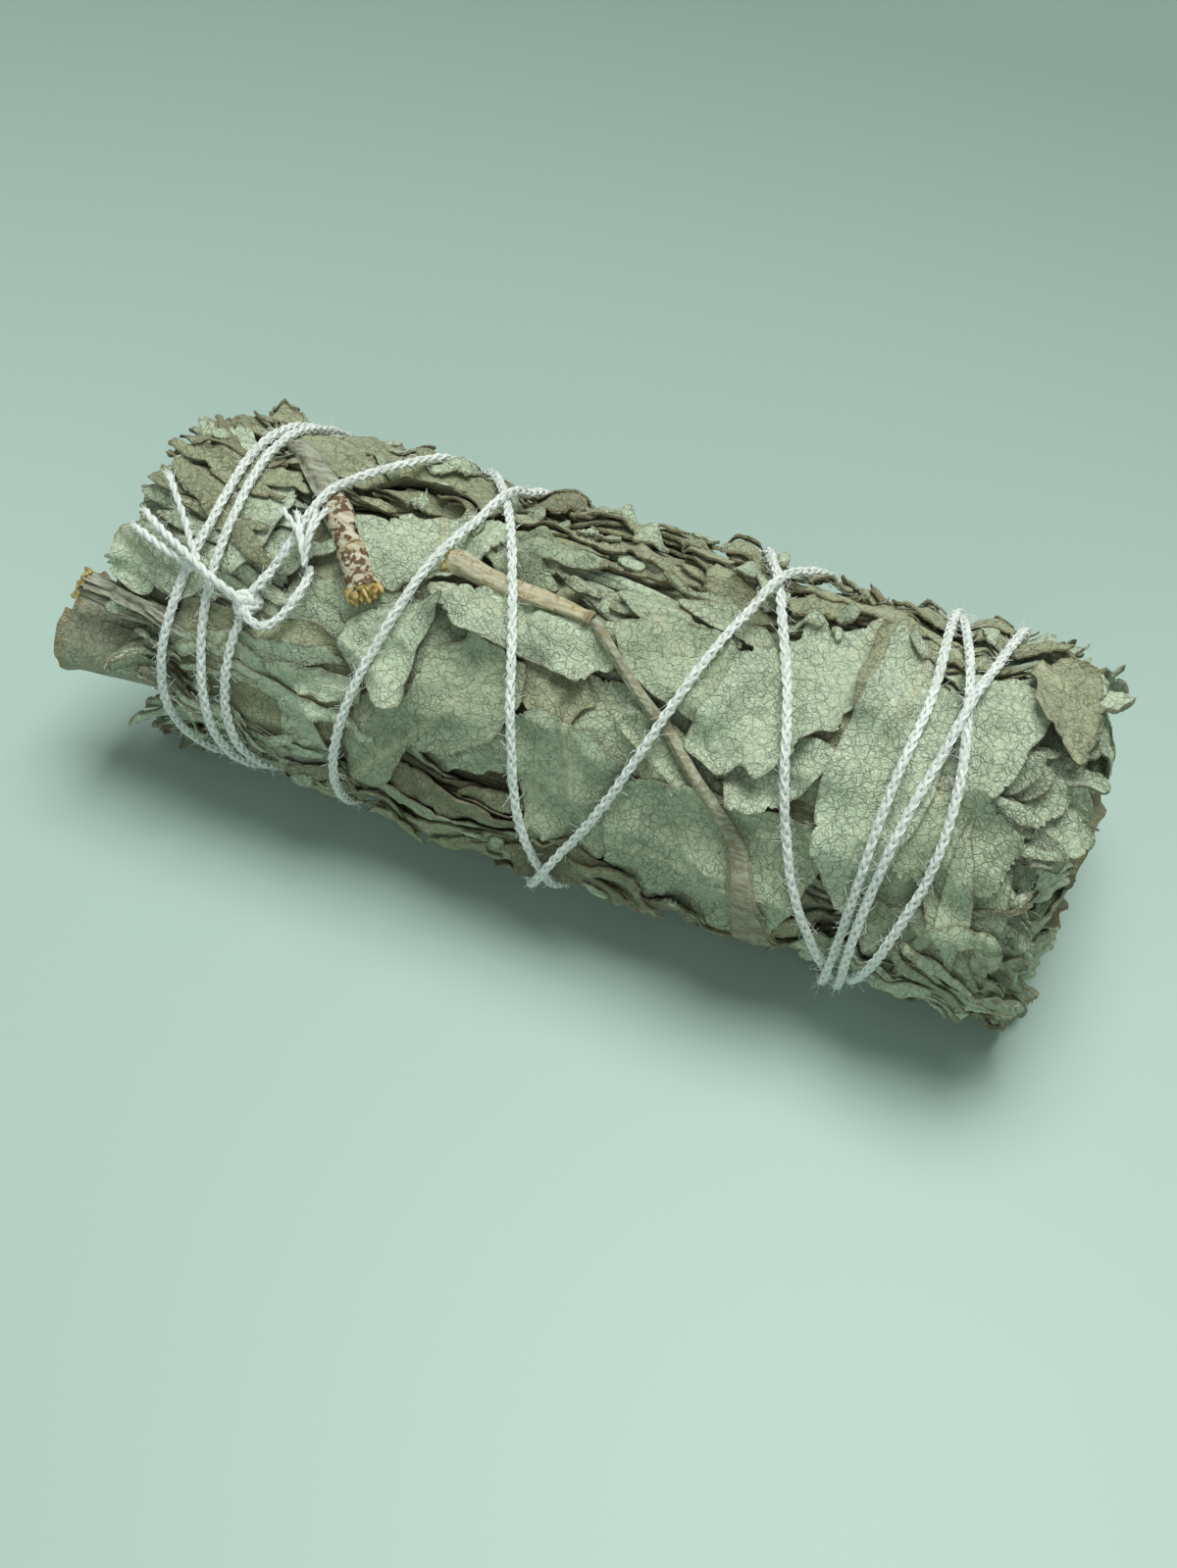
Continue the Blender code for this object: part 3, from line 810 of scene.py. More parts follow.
@dataclass
class LeafCut:
    """One leaf to lay: its outline, the run of its midrib and how it has dried."""

    outline: Array
    heading: float
    number: float
    tone: float = 0.0
    rough: float = 0.28
    tears: float = 0.0
    lift: float = 0.35
    crumple: float = 0.35
    rib: float = 0.28
    fold: float = 0.0
    thickness: float = 0.32
    cell: float = 0.5
    bridge: int = 14

    def lay(self, pile: Pile, solid: Solid) -> None:
        """Drape the leaf over the pile and add its places to a piece.

        Args:
            pile: The pile, which it raises.
            solid: The piece that it joins.
        """
        sheet = Sheet.cut(roughen(self.outline, self.rough, self.number, self.tears),
                          self.heading, self.cell)
        if not len(sheet.quads):
            return
        x, arc = sheet.places.T
        floor = pile.read(x, arc) + 0.05
        reach = np.maximum(pile.read(x, arc, pile.eased(self.bridge)), floor)
        reach = sheet.ease(reach, floor, self.bridge - 2)
        edge = np.exp(-sheet.edge / 0.9)
        curl = 0.55 + 1.5 * NOISE.at(x, arc, self.number, 4.0)
        reach = reach + self.lift * edge * np.clip(curl, 0, 1.7)
        wave = NOISE.fractal(x, arc, self.number + 2.2, 4.0, 3)
        ridges = 1 - np.abs(NOISE.fractal(x, arc, self.number + 5.1, 5.0, 2))
        wrinkle = 1 - 2 * np.abs(NOISE.at(x, arc, self.number + 8.3, 1.9))
        reach = reach + self.crumple * (0.35 + 0.55 * wave + 0.5 * ridges ** 4 + 0.22 * wrinkle)
        half = max(sheet.across.max(), 1.0)
        length = max(sheet.along.max(), 1.0)
        reach = reach + self.crumple * self.creases(x, arc)
        bend = 0.10 * half * np.sin(3.1 * sheet.along / length + self.number)
        side = sheet.across - bend
        taper = np.clip(1.15 - sheet.along / length, 0.2, 1)
        midrib = np.exp(-(side / (0.22 + 0.16 * taper)) ** 2) * taper
        turn = (sheet.along - np.abs(side) * 1.15) / 3.4
        offset = np.where(side > 0, 0.5, 0.0)
        veins = np.exp(-((((turn + offset) % 1) - 0.5) * 3.4 / 0.30) ** 2)
        veins = veins * np.clip(1 - np.abs(side) / half, 0, 1) * 0.35
        reach = reach + self.rib * midrib + 0.22 * self.rib * veins
        reach = reach + self.fold * np.clip(half - np.abs(side), 0, half)
        vein = np.clip(midrib * 0.9 + veins * 0.5, 0, 1) * min(self.rib / 0.28, 1.3)
        reach = np.maximum(reach, floor)
        pile.add(x, arc, reach)
        top = np.stack([x, arc, reach], 1)
        solid.add_sheet(sheet.quads, top, top - [0, 0, self.thickness], tone=self.tone,
                        edge=sheet.edge, vein=vein)

    def creases(self, x: Array, arc: Array) -> Array:
        """Sharp folds that cross the leaf in straight lines.

        Args:
            x: Along the bundle.
            arc: Round it.

        Returns:
            How far each place is raised or sunk.
        """
        rng = np.random.default_rng(int(self.number * 10))
        total = np.zeros(len(x))
        for _ in range(3):
            pick = rng.integers(len(x))
            turn = math.radians(self.heading + rng.normal(0, 50))
            off = (arc - arc[pick]) * math.cos(turn) - (x - x[pick]) * math.sin(turn)
            run = (x - x[pick]) * math.cos(turn) + (arc - arc[pick]) * math.sin(turn)
            off = off + 0.5 * np.sin(run / 2.3)
            strength = rng.choice([-0.7, 0.8, 1.1]) * np.exp(-(run / rng.uniform(4, 9)) ** 2)
            total = total + strength * np.exp(-np.abs(off) / 0.55)
        return total


def spin(heading: float) -> Array:
    """The matrix that turns flat places by minus a heading, in degrees."""
    turn = math.radians(heading)
    return np.array([[math.cos(turn), math.sin(turn)], [-math.sin(turn), math.cos(turn)]])


def oval(x: float, angle: float, length: float, width: float, heading: float,
         point: float = 0.8, cut: float = 1.0) -> Array:
    """The outline of a sage leaf.

    Args:
        x: Its middle along the bundle.
        angle: Its middle round the bundle, in degrees.
        length: From stalk to tip.
        width: Across its widest part.
        heading: The direction of its tip, in degrees from +X.
        point: How early it narrows: under 1 puts the widest part nearer the stalk.
        cut: The part of its length that is left where its tip broke off.

    Returns:
        The closed outline in (x, arc).
    """
    t = np.linspace(0.0, 1.0, 15) * cut
    half = 0.5 * width * np.sin(np.pi * np.clip(t, 0.012, 0.988) ** point) ** 0.72
    along = (t - 0.5) * length
    points = np.concatenate([np.stack([along, half], 1), np.stack([along, -half], 1)[::-1]])
    return points @ spin(heading) + [x, BUNDLE.degrees(angle)]


def unrolled(*corners: tuple[float, float]) -> Array:
    """An outline from (x, angle) corners."""
    return np.array([(x, BUNDLE.degrees(angle)) for x, angle in corners])


@dataclass
class Rolled:
    """A leaf that dried into a thin roll, or a stalk: a creased tube along the bundle."""

    route: list[tuple[float, float]]
    width: float
    number: float
    tone: float = 0.0
    height: float = 0.62
    bury: float = 0.5
    creases: float = 0.34
    sides: int = 22

    def lay(self, pile: Pile, solid: Solid) -> None:
        """Lay the roll on the pile along its route.

        Args:
            pile: The pile, which it raises.
            solid: The piece that it joins.
        """
        points = turned_path(self.route, 0.6)
        count = len(points)
        t = np.linspace(0, 1, count)
        ahead = np.gradient(points, axis=0)
        ahead /= np.hypot(*ahead.T)[:, None]
        side = np.stack([-ahead[:, 1], ahead[:, 0]], 1)
        girth = self.width / 2 * np.clip(np.minimum(t, 1 - t) * 9 + 0.35, 0, 1) ** 0.5
        girth = girth * (1 + 0.22 * NOISE.at(t * count * 0.6, 0 * t, self.number, 5.0))
        x, arc = points.T
        seat = pile.read(x, arc, pile.eased(4))
        seat = np.maximum(np.convolve(np.pad(seat, 4, "edge"), np.ones(9) / 9, "valid"),
                          pile.read(x, arc) - 0.3)
        turns = np.arange(self.sides) / self.sides * 2 * np.pi
        crease = NOISE.fractal(3.1 * np.cos(turns)[None] + 0 * t[:, None],
                               3.1 * np.sin(turns)[None] + 0 * t[:, None],
                               self.number + t[:, None] * count * 0.05, 1.3, 3)
        round_ = girth[:, None] * (1 + self.creases * crease * 1.6)
        across = np.cos(turns)[None] * round_
        up = np.sin(turns)[None] * round_ * self.height
        reach = seat[:, None] + up + (1 - self.bury) * girth[:, None] * self.height
        px = x[:, None] + side[:, :1] * across
        pa = arc[:, None] + side[:, 1:] * across
        pile.add(px.ravel(), pa.ravel(), reach.ravel())
        # Here the edge value follows the creases: the deepest creases take the dark rim colour as
        # painted shade.
        add_tube(solid, np.stack([px, pa, reach], -1), tone=self.tone,
                 edge=np.clip(1.2 + 1.4 * crease.ravel(), 0.0, 3.0))


def add_tube(solid: Solid, rings: Array, **values: Array | float) -> None:
    """Add a closed tube from rings of points, with pinched ends.

    Args:
        solid: The piece that it joins.
        rings: Its points, ring by ring.
        values: Point values.
    """
    count, sides = rings.shape[:2]
    faces = []
    for ring in range(count - 1):
        for corner in range(sides):
            here, there = ring * sides + corner, ring * sides + (corner + 1) % sides
            faces.append([here, there, there + sides, here + sides])
    faces.append(list(range(sides))[::-1])
    faces.append([(count - 1) * sides + corner for corner in range(sides)])
    solid.add(rings.reshape(-1, 3), faces, **values)


def smooth_path(route: list[tuple[float, ...]], step: float) -> Array:
    """Read a smooth curve through a route's points, a step apart (Catmull-Rom).

    Args:
        route: The places that it passes through.
        step: How far apart its points are.

    Returns:
        Its points.
    """
    points = np.array(route, float)
    padded = np.concatenate([[2 * points[0] - points[1]], points, [2 * points[-1] - points[-2]]])
    read = []
    for a, b, c, d in zip(padded, padded[1:], padded[2:], padded[3:]):
        count = max(int(np.linalg.norm(c - b) / step), 1)
        t = (np.arange(count) / count)[:, None]
        read.append(0.5 * (2 * b + (c - a) * t + (2 * a - 5 * b + 4 * c - d) * t**2
                           + (3 * b - a - 3 * c + d) * t**3))
    return np.concatenate([*read, points[-1:]])


def turned_path(route: list[tuple[float, ...]], step: float) -> Array:
    """A smooth curve through (x, angle) places, in (x, arc)."""
    return smooth_path([(x, BUNDLE.degrees(angle), *rest) for x, angle, *rest in route], step)


@dataclass
class PackedLeaves:
    """The leaves folded inside. Their ends show, close and wavy, at both ends of the bundle."""

    palette: Palette
    first_band: float = 0.9
    last_band: float = 15.6
    spacing: float = 1.15
    stem_end: float = -49.6
    tip_end: float = 49.0
    press: Press | None = None

    def nodes(self, reach: float) -> str:
        """The kind of CAD leaf that fills this part of the bundle."""
        return "core_leaf" if reach < 9.5 else "inner_leaf" if reach < 12.2 else "middle_leaf"

    def build(self, press: Press) -> None:
        """Build the leaves as wavy sheets that follow the bundle round, one piece for each node.

        Args:
            press: The press.
        """
        self.press = press
        groups = {}
        for kind, count in (("core_leaf", 4), ("inner_leaf", 5), ("middle_leaf", 6)):
            for number in range(count):
                groups[f"{kind}_{number + 1}"] = Solid()
        rng = np.random.default_rng(SEED + 1)
        reach = self.first_band
        while reach < self.last_band:
            kind = self.nodes(reach)
            members = [name for name in groups if name.startswith(kind)]
            turn = rng.uniform(0, 360)
            end = turn + 360
            while turn < end - 8:
                span = min(rng.uniform(9, 26) / reach * 57.3, end - turn)
                emptiest = min(members, key=lambda name: groups[name].count)
                self.sheet(groups[emptiest], reach, turn, turn + span, rng)
                turn += span + 1.2 / reach * 57.3
            reach += self.spacing
        slots = (Slot.OLIVE, Slot.GREEN, Slot.GREY)
        for index, (name, solid) in enumerate(groups.items()):
            slot = slots[index % 3]
            solid.piece(f"packed_{name}", self.palette.leaf[slot], slot, (name,))

    def sheet(self, solid: Solid, reach: float, first: float, last: float,
              rng: np.random.Generator) -> None:
        """Add one folded leaf: a wavy sheet along the bundle with ragged ends.

        Args:
            solid: The piece that it joins.
            reach: How far out it lies, in millimetres.
            first: Where it starts round the bundle, in degrees.
            last: Where it ends.
            rng: For its waves and ends.
        """
        number = rng.uniform(0, 90)
        width = max(int((last - first) / 57.3 * reach / 0.55), 4)
        across = np.linspace(0, 1, width + 1)
        start = self.stem_end + rng.uniform(-0.9, 2.2)
        if reach > 6.5 and 50 < 0.5 * (first + last) % 360 < 120:
            start = -42.5 + rng.uniform(-0.5, 1.5)
        stop = self.tip_end + rng.uniform(-4.5, 1.6) - 0.10 * (reach - 8) ** 2 * (reach > 8)
        steps = np.concatenate([np.linspace(0, 8, 17), np.linspace(12, 84, 9),
                                np.linspace(88, 100, 23)]) / 100
        t, s = np.meshgrid(steps, across, indexing="ij")
        degrees = first + (last - first) * s
        arc_like = degrees / 57.3 * reach
        ragged_start = 0.9 * NOISE.fractal(arc_like, 0 * t, number, 2.8, 2)
        ragged_stop = 1.6 * NOISE.fractal(arc_like, 0 * t, number + 4, 3.6, 2)
        x = (start + ragged_start) * (1 - t) + (stop + ragged_stop) * t
        to_tip = np.clip((x - 38) / 12, 0, 1)
        to_stem = np.clip((-44 - x) / 6, 0, 1)
        wave = NOISE.fractal(arc_like, x * 0.35, number + 8, 2.4, 2)
        out = reach + wave * (0.30 + 0.55 * to_tip + 0.15 * to_stem)
        lean = rng.uniform(-0.9, 0.9)
        out = out + lean * (s - 0.5) * self.spacing + to_tip**2 * rng.uniform(-1.6, 0.4)
        out = np.clip(out, 0.3, 16.4)
        turn = np.radians(degrees) + to_tip * 0.10 * NOISE.at(arc_like, x, number, 5.0)
        aside, up = out * np.sin(turn), out * np.cos(turn)
        sway = 2.0 * np.clip(1.15 - (out / 16) ** 2, 0, 1)
        aside, up = (aside + sway * NOISE.at(aside, up, 31.0 + x * 0.02, 5.5),
                     up + sway * NOISE.at(aside, up, 47.0 + x * 0.02, 5.5))
        out, turn = np.maximum(np.hypot(aside, up), 0.3), np.arctan2(aside, up)
        skin = 0.26
        quads = grid_quads(len(steps), width + 1)
        depth = np.minimum(x - start - ragged_start, stop + ragged_stop - x)
        tone = rng.uniform(-0.9, 0.5) - 0.25 * (reach < 8)

        def point(level: Array) -> Array:
            """Points at a reach from the middle line, in metres."""
            arc = turn * BUNDLE.radius
            return BUNDLE.world(x, arc, self.press.squeeze(x, arc, level)).reshape(-1, 3)

        solid.add_sheet(quads, point(out), point(out - skin), tone=tone,
                        edge=np.clip(depth, 0, 3).ravel())


def grid_quads(rows: int, columns: int) -> Array:
    """The cells of a grid of points, row by row.

    Args:
        rows: The number of rows.
        columns: The number of points in a row.

    Returns:
        One row of four point numbers for each cell.
    """
    number = np.arange(rows * columns).reshape(rows, columns)
    return np.stack([number[:-1, :-1], number[1:, :-1], number[1:, 1:], number[:-1, 1:]],
                    -1).reshape(-1, 4)


@dataclass
class PackedCore:
    """The packed mass under the outer leaves, which shows only down the deepest gaps, painted dark as
    shade.
    """

    palette: Palette
    reach: float = 15.2
    start: float = -43.0
    stop: float = 43.0

    def build(self, press: Press) -> None:
        """Build the mass as pleats of old leaf edges that run along the bundle, their sunken parts in
        painted shade.

        Args:
            press: The press.
        """
        x = np.arange(self.start, self.stop + 0.1, 0.8)
        arc = np.linspace(0, BUNDLE.round_length, 181)[:-1]
        gx, ga = np.meshgrid(x, arc, indexing="ij")
        turn = ga / BUNDLE.radius
        pleat = NOISE.fractal(gx * 0.12, 26 * np.cos(turn), 26 * np.sin(turn), 1.6, 2)
        ends = np.clip((np.abs(gx) - 38) / 5, 0, 1)
        reach = self.reach + 0.9 * pleat - 1.5 * ends
        rings = BUNDLE.world(gx.ravel(), ga.ravel(),
                             press.squeeze(gx.ravel(), ga.ravel(), reach.ravel()))
        solid = Solid()
        # tone -0.8 darkens the whole mass and the edge value gives its sunken pleats the dark rim
        # colour: painted shade for the deepest gaps.
        add_tube(solid, rings.reshape(len(x), len(arc), 3), tone=-0.8,
                 edge=np.clip(0.5 + pleat.ravel(), 0, 3))
        solid.piece("packed_leaf_mass", self.palette.leaf[Slot.OLIVE], Slot.OLIVE)


@dataclass
class CutStems:
    """The woody stems in the middle, their cut ends bare at the stem end."""

    palette: Palette
    count: int = 5
    sides: int = 18

    def build(self) -> None:
        """Build each stem on its CAD stem, with bark, a rim of wood and a pithy centre."""
        for number in range(self.count):
            node = f"stem_{number + 1}"
            low, high = (np.array(corner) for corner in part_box(node))
            centre, radius = (low + high) / 2, (high - low)[1] / 2
            x = np.linspace(low[0], high[0], 40)
            turns = np.arange(self.sides) / self.sides * 2 * np.pi
            gx, gt = np.meshgrid(x, turns, indexing="ij")
            rib = NOISE.at(gx / MM * 0.1, 6 * np.cos(gt), 6 * np.sin(gt) + number * 7, 1.6)
            girth = radius * (1 + 0.10 * rib)
            points = np.stack([gx, centre[1] + girth * np.cos(gt), centre[2] + girth * np.sin(gt)],
                              -1)
            solid = Solid()
            add_tube(solid, points, vein=0.0)
            self.cut_face(solid, points[0], number)
            solid.piece(f"cut_{node}", self.palette.stem, Slot.STEM, (node,))

    def cut_face(self, solid: Solid, ring: Array, number: int) -> None:
        """Add the rough cut end: a raised rim of wood round a sunken pith.

        Args:
            solid: The piece that it joins.
            ring: The stem's last ring.
            number: The stem's own number.
        """
        centre = ring.mean(0)
        rings, pale = [], []
        for part, out, colour in ((0.98, 0.05, 0.1), (0.86, 0.45, 0.5), (0.62, 0.5, 0.75),
                                  (0.42, 0.2, 0.55), (0.2, 0.05, 0.35), (0.03, 0.0, 0.3)):
            turns = np.arange(len(ring))
            rough = 0.22 * NOISE.at(turns * 0.9, part * 9 + 0.0 * turns, number * 3.3, 1.0)
            level = centre + (ring - centre) * part
            level[:, 0] -= (out + rough * (part > 0.3)) * MM
            rings.append(level)
            pale.append(np.full(len(ring), colour))
        add_tube(solid, np.array(rings)[::-1], vein=np.concatenate(pale[::-1]))


# A name, a slot, the ranges along and round the bundle, a count and the swing of the headings.
ShredZone = tuple[str, Slot, tuple[float, float], tuple[float, float], int, float]


@dataclass
class LaidLeaves:
    """The leaves pressed on the outside, from the ones beneath to the ones that show whole."""

    palette: Palette
    pile: Pile
    end_levels: int = 5
    end_leaves: int = 9
    scrap_count: int = 110
    laid: list[tuple[Solid, str, Slot, tuple[str, ...]]] = field(default_factory=list)

    def layer(self, name: str, slot: Slot, cuts: list[LeafCut | Rolled],
              nodes: tuple[str, ...] = ()) -> None:
        """Lay leaves one after another as one piece.

        Args:
            name: The piece's name.
            slot: Its material slot.
            cuts: Its leaves, in order.
            nodes: The CAD nodes it stands for.
        """
        solid = Solid()
        for cut in cuts:
            cut.lay(self.pile, solid)
        self.laid.append((solid, name, slot, nodes))

    def build(self, press: Press) -> None:
        """Lay every leaf, tie the pile tight and make the pieces.

        Args:
            press: The press.
        """
        self.bed()
        self.shingles()
        self.rolls()
        self.shreds(SHRED_ZONES)
        self.rear()
        self.front()
        self.shreds(SEAM_ZONES)
        self.scraps()
        press.tighten()
        for solid, name, slot, nodes in self.laid:
            solid.press(press)
            solid.piece(name, self.palette.leaf[slot], slot, nodes)

    def bed(self) -> None:
        """Lay the leaves beneath: long leaves side by side all the way round."""
        rng = np.random.default_rng(SEED + 2)
        nodes = [("under_leaf_top_right",), ("midrib_leaf",), ("under_leaf_low",),
                 ("belly_leaf_stem_end", "belly_leaf_middle", "belly_leaf_tip_end"),
                 ("under_leaf_back",), ("under_leaf_rear_left",), ("under_leaf_rear_right",),
                 ("under_leaf_top_left",)]
        for sector, stands_for in enumerate(nodes):
            cuts = []
            for turn in (0, 1):
                for x in (-36, -13, 12, 35):
                    cuts.append(self.random_leaf(
                        rng, x + rng.uniform(-4, 4) + 10 * turn - 5,
                        sector * 45 + turn * 22 + rng.uniform(-6, 6), (28, 40), (8, 13), 22))
            rng.shuffle(cuts)
            slot = (Slot.OLIVE, Slot.GREEN, Slot.GREY, Slot.OLIVE)[sector % 4]
            self.layer(f"bed_leaves_{sector + 1}", slot, cuts, stands_for)

    def random_leaf(self, rng: np.random.Generator, x: float, angle: float,
                    lengths: tuple[float, float], widths: tuple[float, float], swing: float,
                    tone: float = -0.15) -> LeafCut:
        """Draw a leaf near a place, held inside the length of the bundle.

        Args:
            rng: For its shape.
            x: Its middle along the bundle.
            angle: Its middle round it, in degrees.
            lengths: The range of its length.
            widths: The range of its width.
            swing: How far it may turn from the bundle's direction.
            tone: How pale such leaves are.

        Returns:
            The leaf.
        """
        length, width = rng.uniform(*lengths), rng.uniform(*widths)
        heading = rng.uniform(-swing, swing) + (180 if rng.random() < 0.4 else 0)
        x = float(np.clip(x, -49 + length / 2, 48.5 - length / 2))
        shape = oval(x, angle, length, width, heading, rng.uniform(0.65, 1.0),
                     rng.choice([1.0, 0.8, 0.7]))
        return LeafCut(shape, heading, rng.uniform(0, 99), tone=tone + rng.uniform(-0.35, 0.5),
                       tears=rng.choice([0.0, 0.5, 0.9]), crumple=rng.uniform(0.25, 0.5))

    def shingles(self) -> None:
        """Lay the leaf ends round both ends of the bundle, the inner ones reaching furthest."""
        rng = np.random.default_rng(SEED + 9)
        for end, name in ((1, "tip_end"), (-1, "stem_end")):
            for half, slot in ((0, Slot.GREY), (1, Slot.OLIVE if end < 0 else Slot.GREEN)):
                cuts = []
                for level in range(self.end_levels):
                    for place in range(self.end_leaves):
                        length, width = rng.uniform(11, 17), rng.uniform(5, 9)
                        reach = 51.0 - level * 1.7 + rng.uniform(-0.9, 0.9) - (end < 0) * 1.6
                        heading = rng.uniform(-24, 24)
                        angle = half * 180 - 90 + place * 20 + 9 * level + rng.uniform(-6, 6)
                        if end < 0 and 46 < angle % 360 < 128:
                            reach -= 7.5
                        shape = oval(end * (reach - length / 2), angle, length, width,
                                     heading, rng.uniform(0.8, 1.3))
                        cuts.append(LeafCut(shape, heading, rng.uniform(0, 99),
                                            tone=rng.uniform(-0.6, 0.7), rough=0.5, tears=1.4,
                                            lift=0.7, crumple=0.42, rib=0.12, cell=0.4,
                                            bridge=8))
                self.layer(f"{name}_leaf_edges_{half + 1}", slot, cuts)

    def shreds(self, zones: tuple[ShredZone, ...]) -> None:
        """Lay the narrow folded strips that fill the gaps, nearly all of them along the bundle.

        Args:
            zones: Where they lie.
        """
        rng = np.random.default_rng(SEED + 6 + len(zones))
        for name, slot, along, round_, count, swing in zones:
            cuts = []
            for _ in range(count):
                length, width = rng.uniform(6, 20), rng.uniform(0.9, 3.0)
                heading = rng.normal(0, swing)
                x = np.clip(rng.uniform(*along), -50 + length / 2, 50 - length / 2)
                shape = oval(x, rng.uniform(*round_), length, width, heading,
                             rng.uniform(0.6, 1.4))
                cuts.append(LeafCut(shape, heading, rng.uniform(0, 99), rough=0.22, tears=0.4,
                                    tone=rng.uniform(-0.7, 1.0), lift=0.3, crumple=0.26,
                                    rib=0.05, fold=rng.uniform(0.1, 0.5), cell=0.35, bridge=6))
            self.layer(f"shreds_{name}", slot, cuts)

    def scraps(self) -> None:
        """Lay small broken bits of leaf over the rest."""
        rng = np.random.default_rng(SEED + 7)
        cuts = []
        for index in range(self.scrap_count):
            heading = rng.normal(0, 25)
            angle = rng.uniform(-56, -6) if index % 2 else rng.uniform(98, 300)
            turns = np.sort(rng.uniform(0, 2 * np.pi, 6))
            size = rng.uniform(0.6, 1.0, 6)
            shape = np.stack([rng.uniform(1.5, 4.5) * np.cos(turns) * size,
                              rng.uniform(0.8, 1.8) * np.sin(turns) * size], 1)
            shape = shape + [rng.uniform(-45, 45), BUNDLE.degrees(angle)]
            cuts.append(LeafCut(shape, heading, rng.uniform(0, 99), rough=0.2, tears=0.4,
                                tone=rng.uniform(-0.6, 0.9), lift=0.15, crumple=0.12, rib=0.05,
                                cell=0.35, bridge=3))
        self.layer("small_scraps", Slot.GREY, cuts)

    def rear(self) -> None:
        """Lay the leaves that show whole on the back and the underside."""
        rng = np.random.default_rng(SEED + 3)
        spots = [("rear_leaf_left", -20, -78, 6), ("rear_leaf_right", 20, -80, 8),
                 ("back_leaf_left", -24, -122, -8), ("back_leaf_right", 22, -120, 4),
                 ("", -2, -100, 62), ("", -36, -100, 70), ("", 38, -104, -66), ("", 4, -140, 12),
                 ("", -34, 160, 8), ("", -2, 165, -12), ("", 34, 158, 10), ("", 3, -62, -30)]
        extras = []
        for index, (node, x, angle, heading) in enumerate(spots):
            length, width = rng.uniform(30, 38), rng.uniform(10.5, 14)
            if not node:
                length, width = rng.uniform(20, 26), rng.uniform(8, 11)
            cut = LeafCut(oval(x, angle, length, width, heading, 0.8, 1.0 - 0.2 * (index % 2)),
                          heading, 11.3 * index + 1, tone=rng.uniform(-0.2, 0.6), tears=0.7,
                          crumple=0.4)
            if node:
                slot = (Slot.GREEN, Slot.GREY, Slot.GREY, Slot.OLIVE)[index]
                self.layer(f"leaf_{node}", slot, [cut], (node,))
            else:
                extras.append(cut)
        self.layer("small_rear_leaves", Slot.GREY, extras)

    def rolls(self) -> None:
        """Lay the thin rolls and folded edges that run along the bundle."""
        rng = np.random.default_rng(SEED + 4)
        top = [Rolled([(-12, -30), (-2, -25), (8, -16)], 2.2, 1.5, 0.1),
               Rolled([(0, -34), (10, -32), (22, -34)], 2.4, 7.3, 0.2),
               Rolled([(6, -22), (16, -24), (28, -30), (35, -30)], 2.2, 3.4, 0.4),
               Rolled([(14, -16), (24, -22), (35, -24)], 1.9, 4.8, 0.5),
               Rolled([(-8, -4), (2, -6), (13, 0)], 2.0, 5.9, 0.6),
               Rolled([(-3, 2), (6, 3), (15, 7)], 1.7, 9.1, 0.5),
               Rolled([(20, -12), (28, -17), (34, -16)], 1.6, 2.7, 0.3)]
        left = [Rolled([(-47, -34), (-36, -30), (-24, -30)], 2.2, 12.1, -0.1),
                Rolled([(-40, -24), (-30, -22), (-17, -20)], 2.0, 13.4, -0.2),
                Rolled([(-48, 2), (-43, 4), (-40, 8)], 2.6, 14.9, 0.0),
                Rolled([(-48, -8), (-44, -6), (-38, -2)], 2.2, 15.3, 0.1)]
        low = [Rolled([(-38, 100), (-26, 104), (-12, 108)], 1.8, 21.2, -0.2),
               Rolled([(-24, 92), (-12, 97), (-2, 100)], 1.5, 22.2, -0.3),
               Rolled([(-20, 104), (-4, 109), (12, 112)], 1.7, 23.2, -0.2),
               Rolled([(12, 112), (24, 118), (40, 114)], 1.7, 24.2, 0.1)]
        back = [Rolled([(x, angle), (x + 12, angle + rng.uniform(-6, 6)),
                        (x + rng.uniform(20, 30), angle + rng.uniform(-8, 8))],
                       rng.uniform(1.4, 2.4), rng.uniform(0, 99), rng.uniform(-0.3, 0.5))
                for x, angle in ((-44, -60), (-10, -52), (18, -58), (-30, -96), (8, -98),
                                 (-46, -134), (-8, -132), (20, -140), (-40, 140), (5, 145))]
        self.layer("rolled_edges_top", Slot.GREY, top, ("ridge_leaf",))
        self.layer("rolled_edges_stem_end", Slot.OLIVE, left)
        self.layer("rolled_edges_low", Slot.OLIVE, low)
        self.layer("rolled_edges_back", Slot.GREY, back)

    def front(self) -> None:
        """Lay the leaves that show on the front, each with its own outline."""
        for number, spec in enumerate(FRONT_LEAVES, FIRST_FRONT_NUMBER):
            cut = LeafCut(unrolled(*spec.corners), spec.heading, float(number), tone=spec.tone,
                          rough=spec.rough * 1.25, tears=spec.tears + 0.25,
                          crumple=spec.crumple * 1.9,
                          rib=spec.rib * 1.4, lift=spec.lift * 1.5, cell=0.4)
            self.layer(f"leaf_{spec.name}", spec.slot, [cut], spec.nodes)


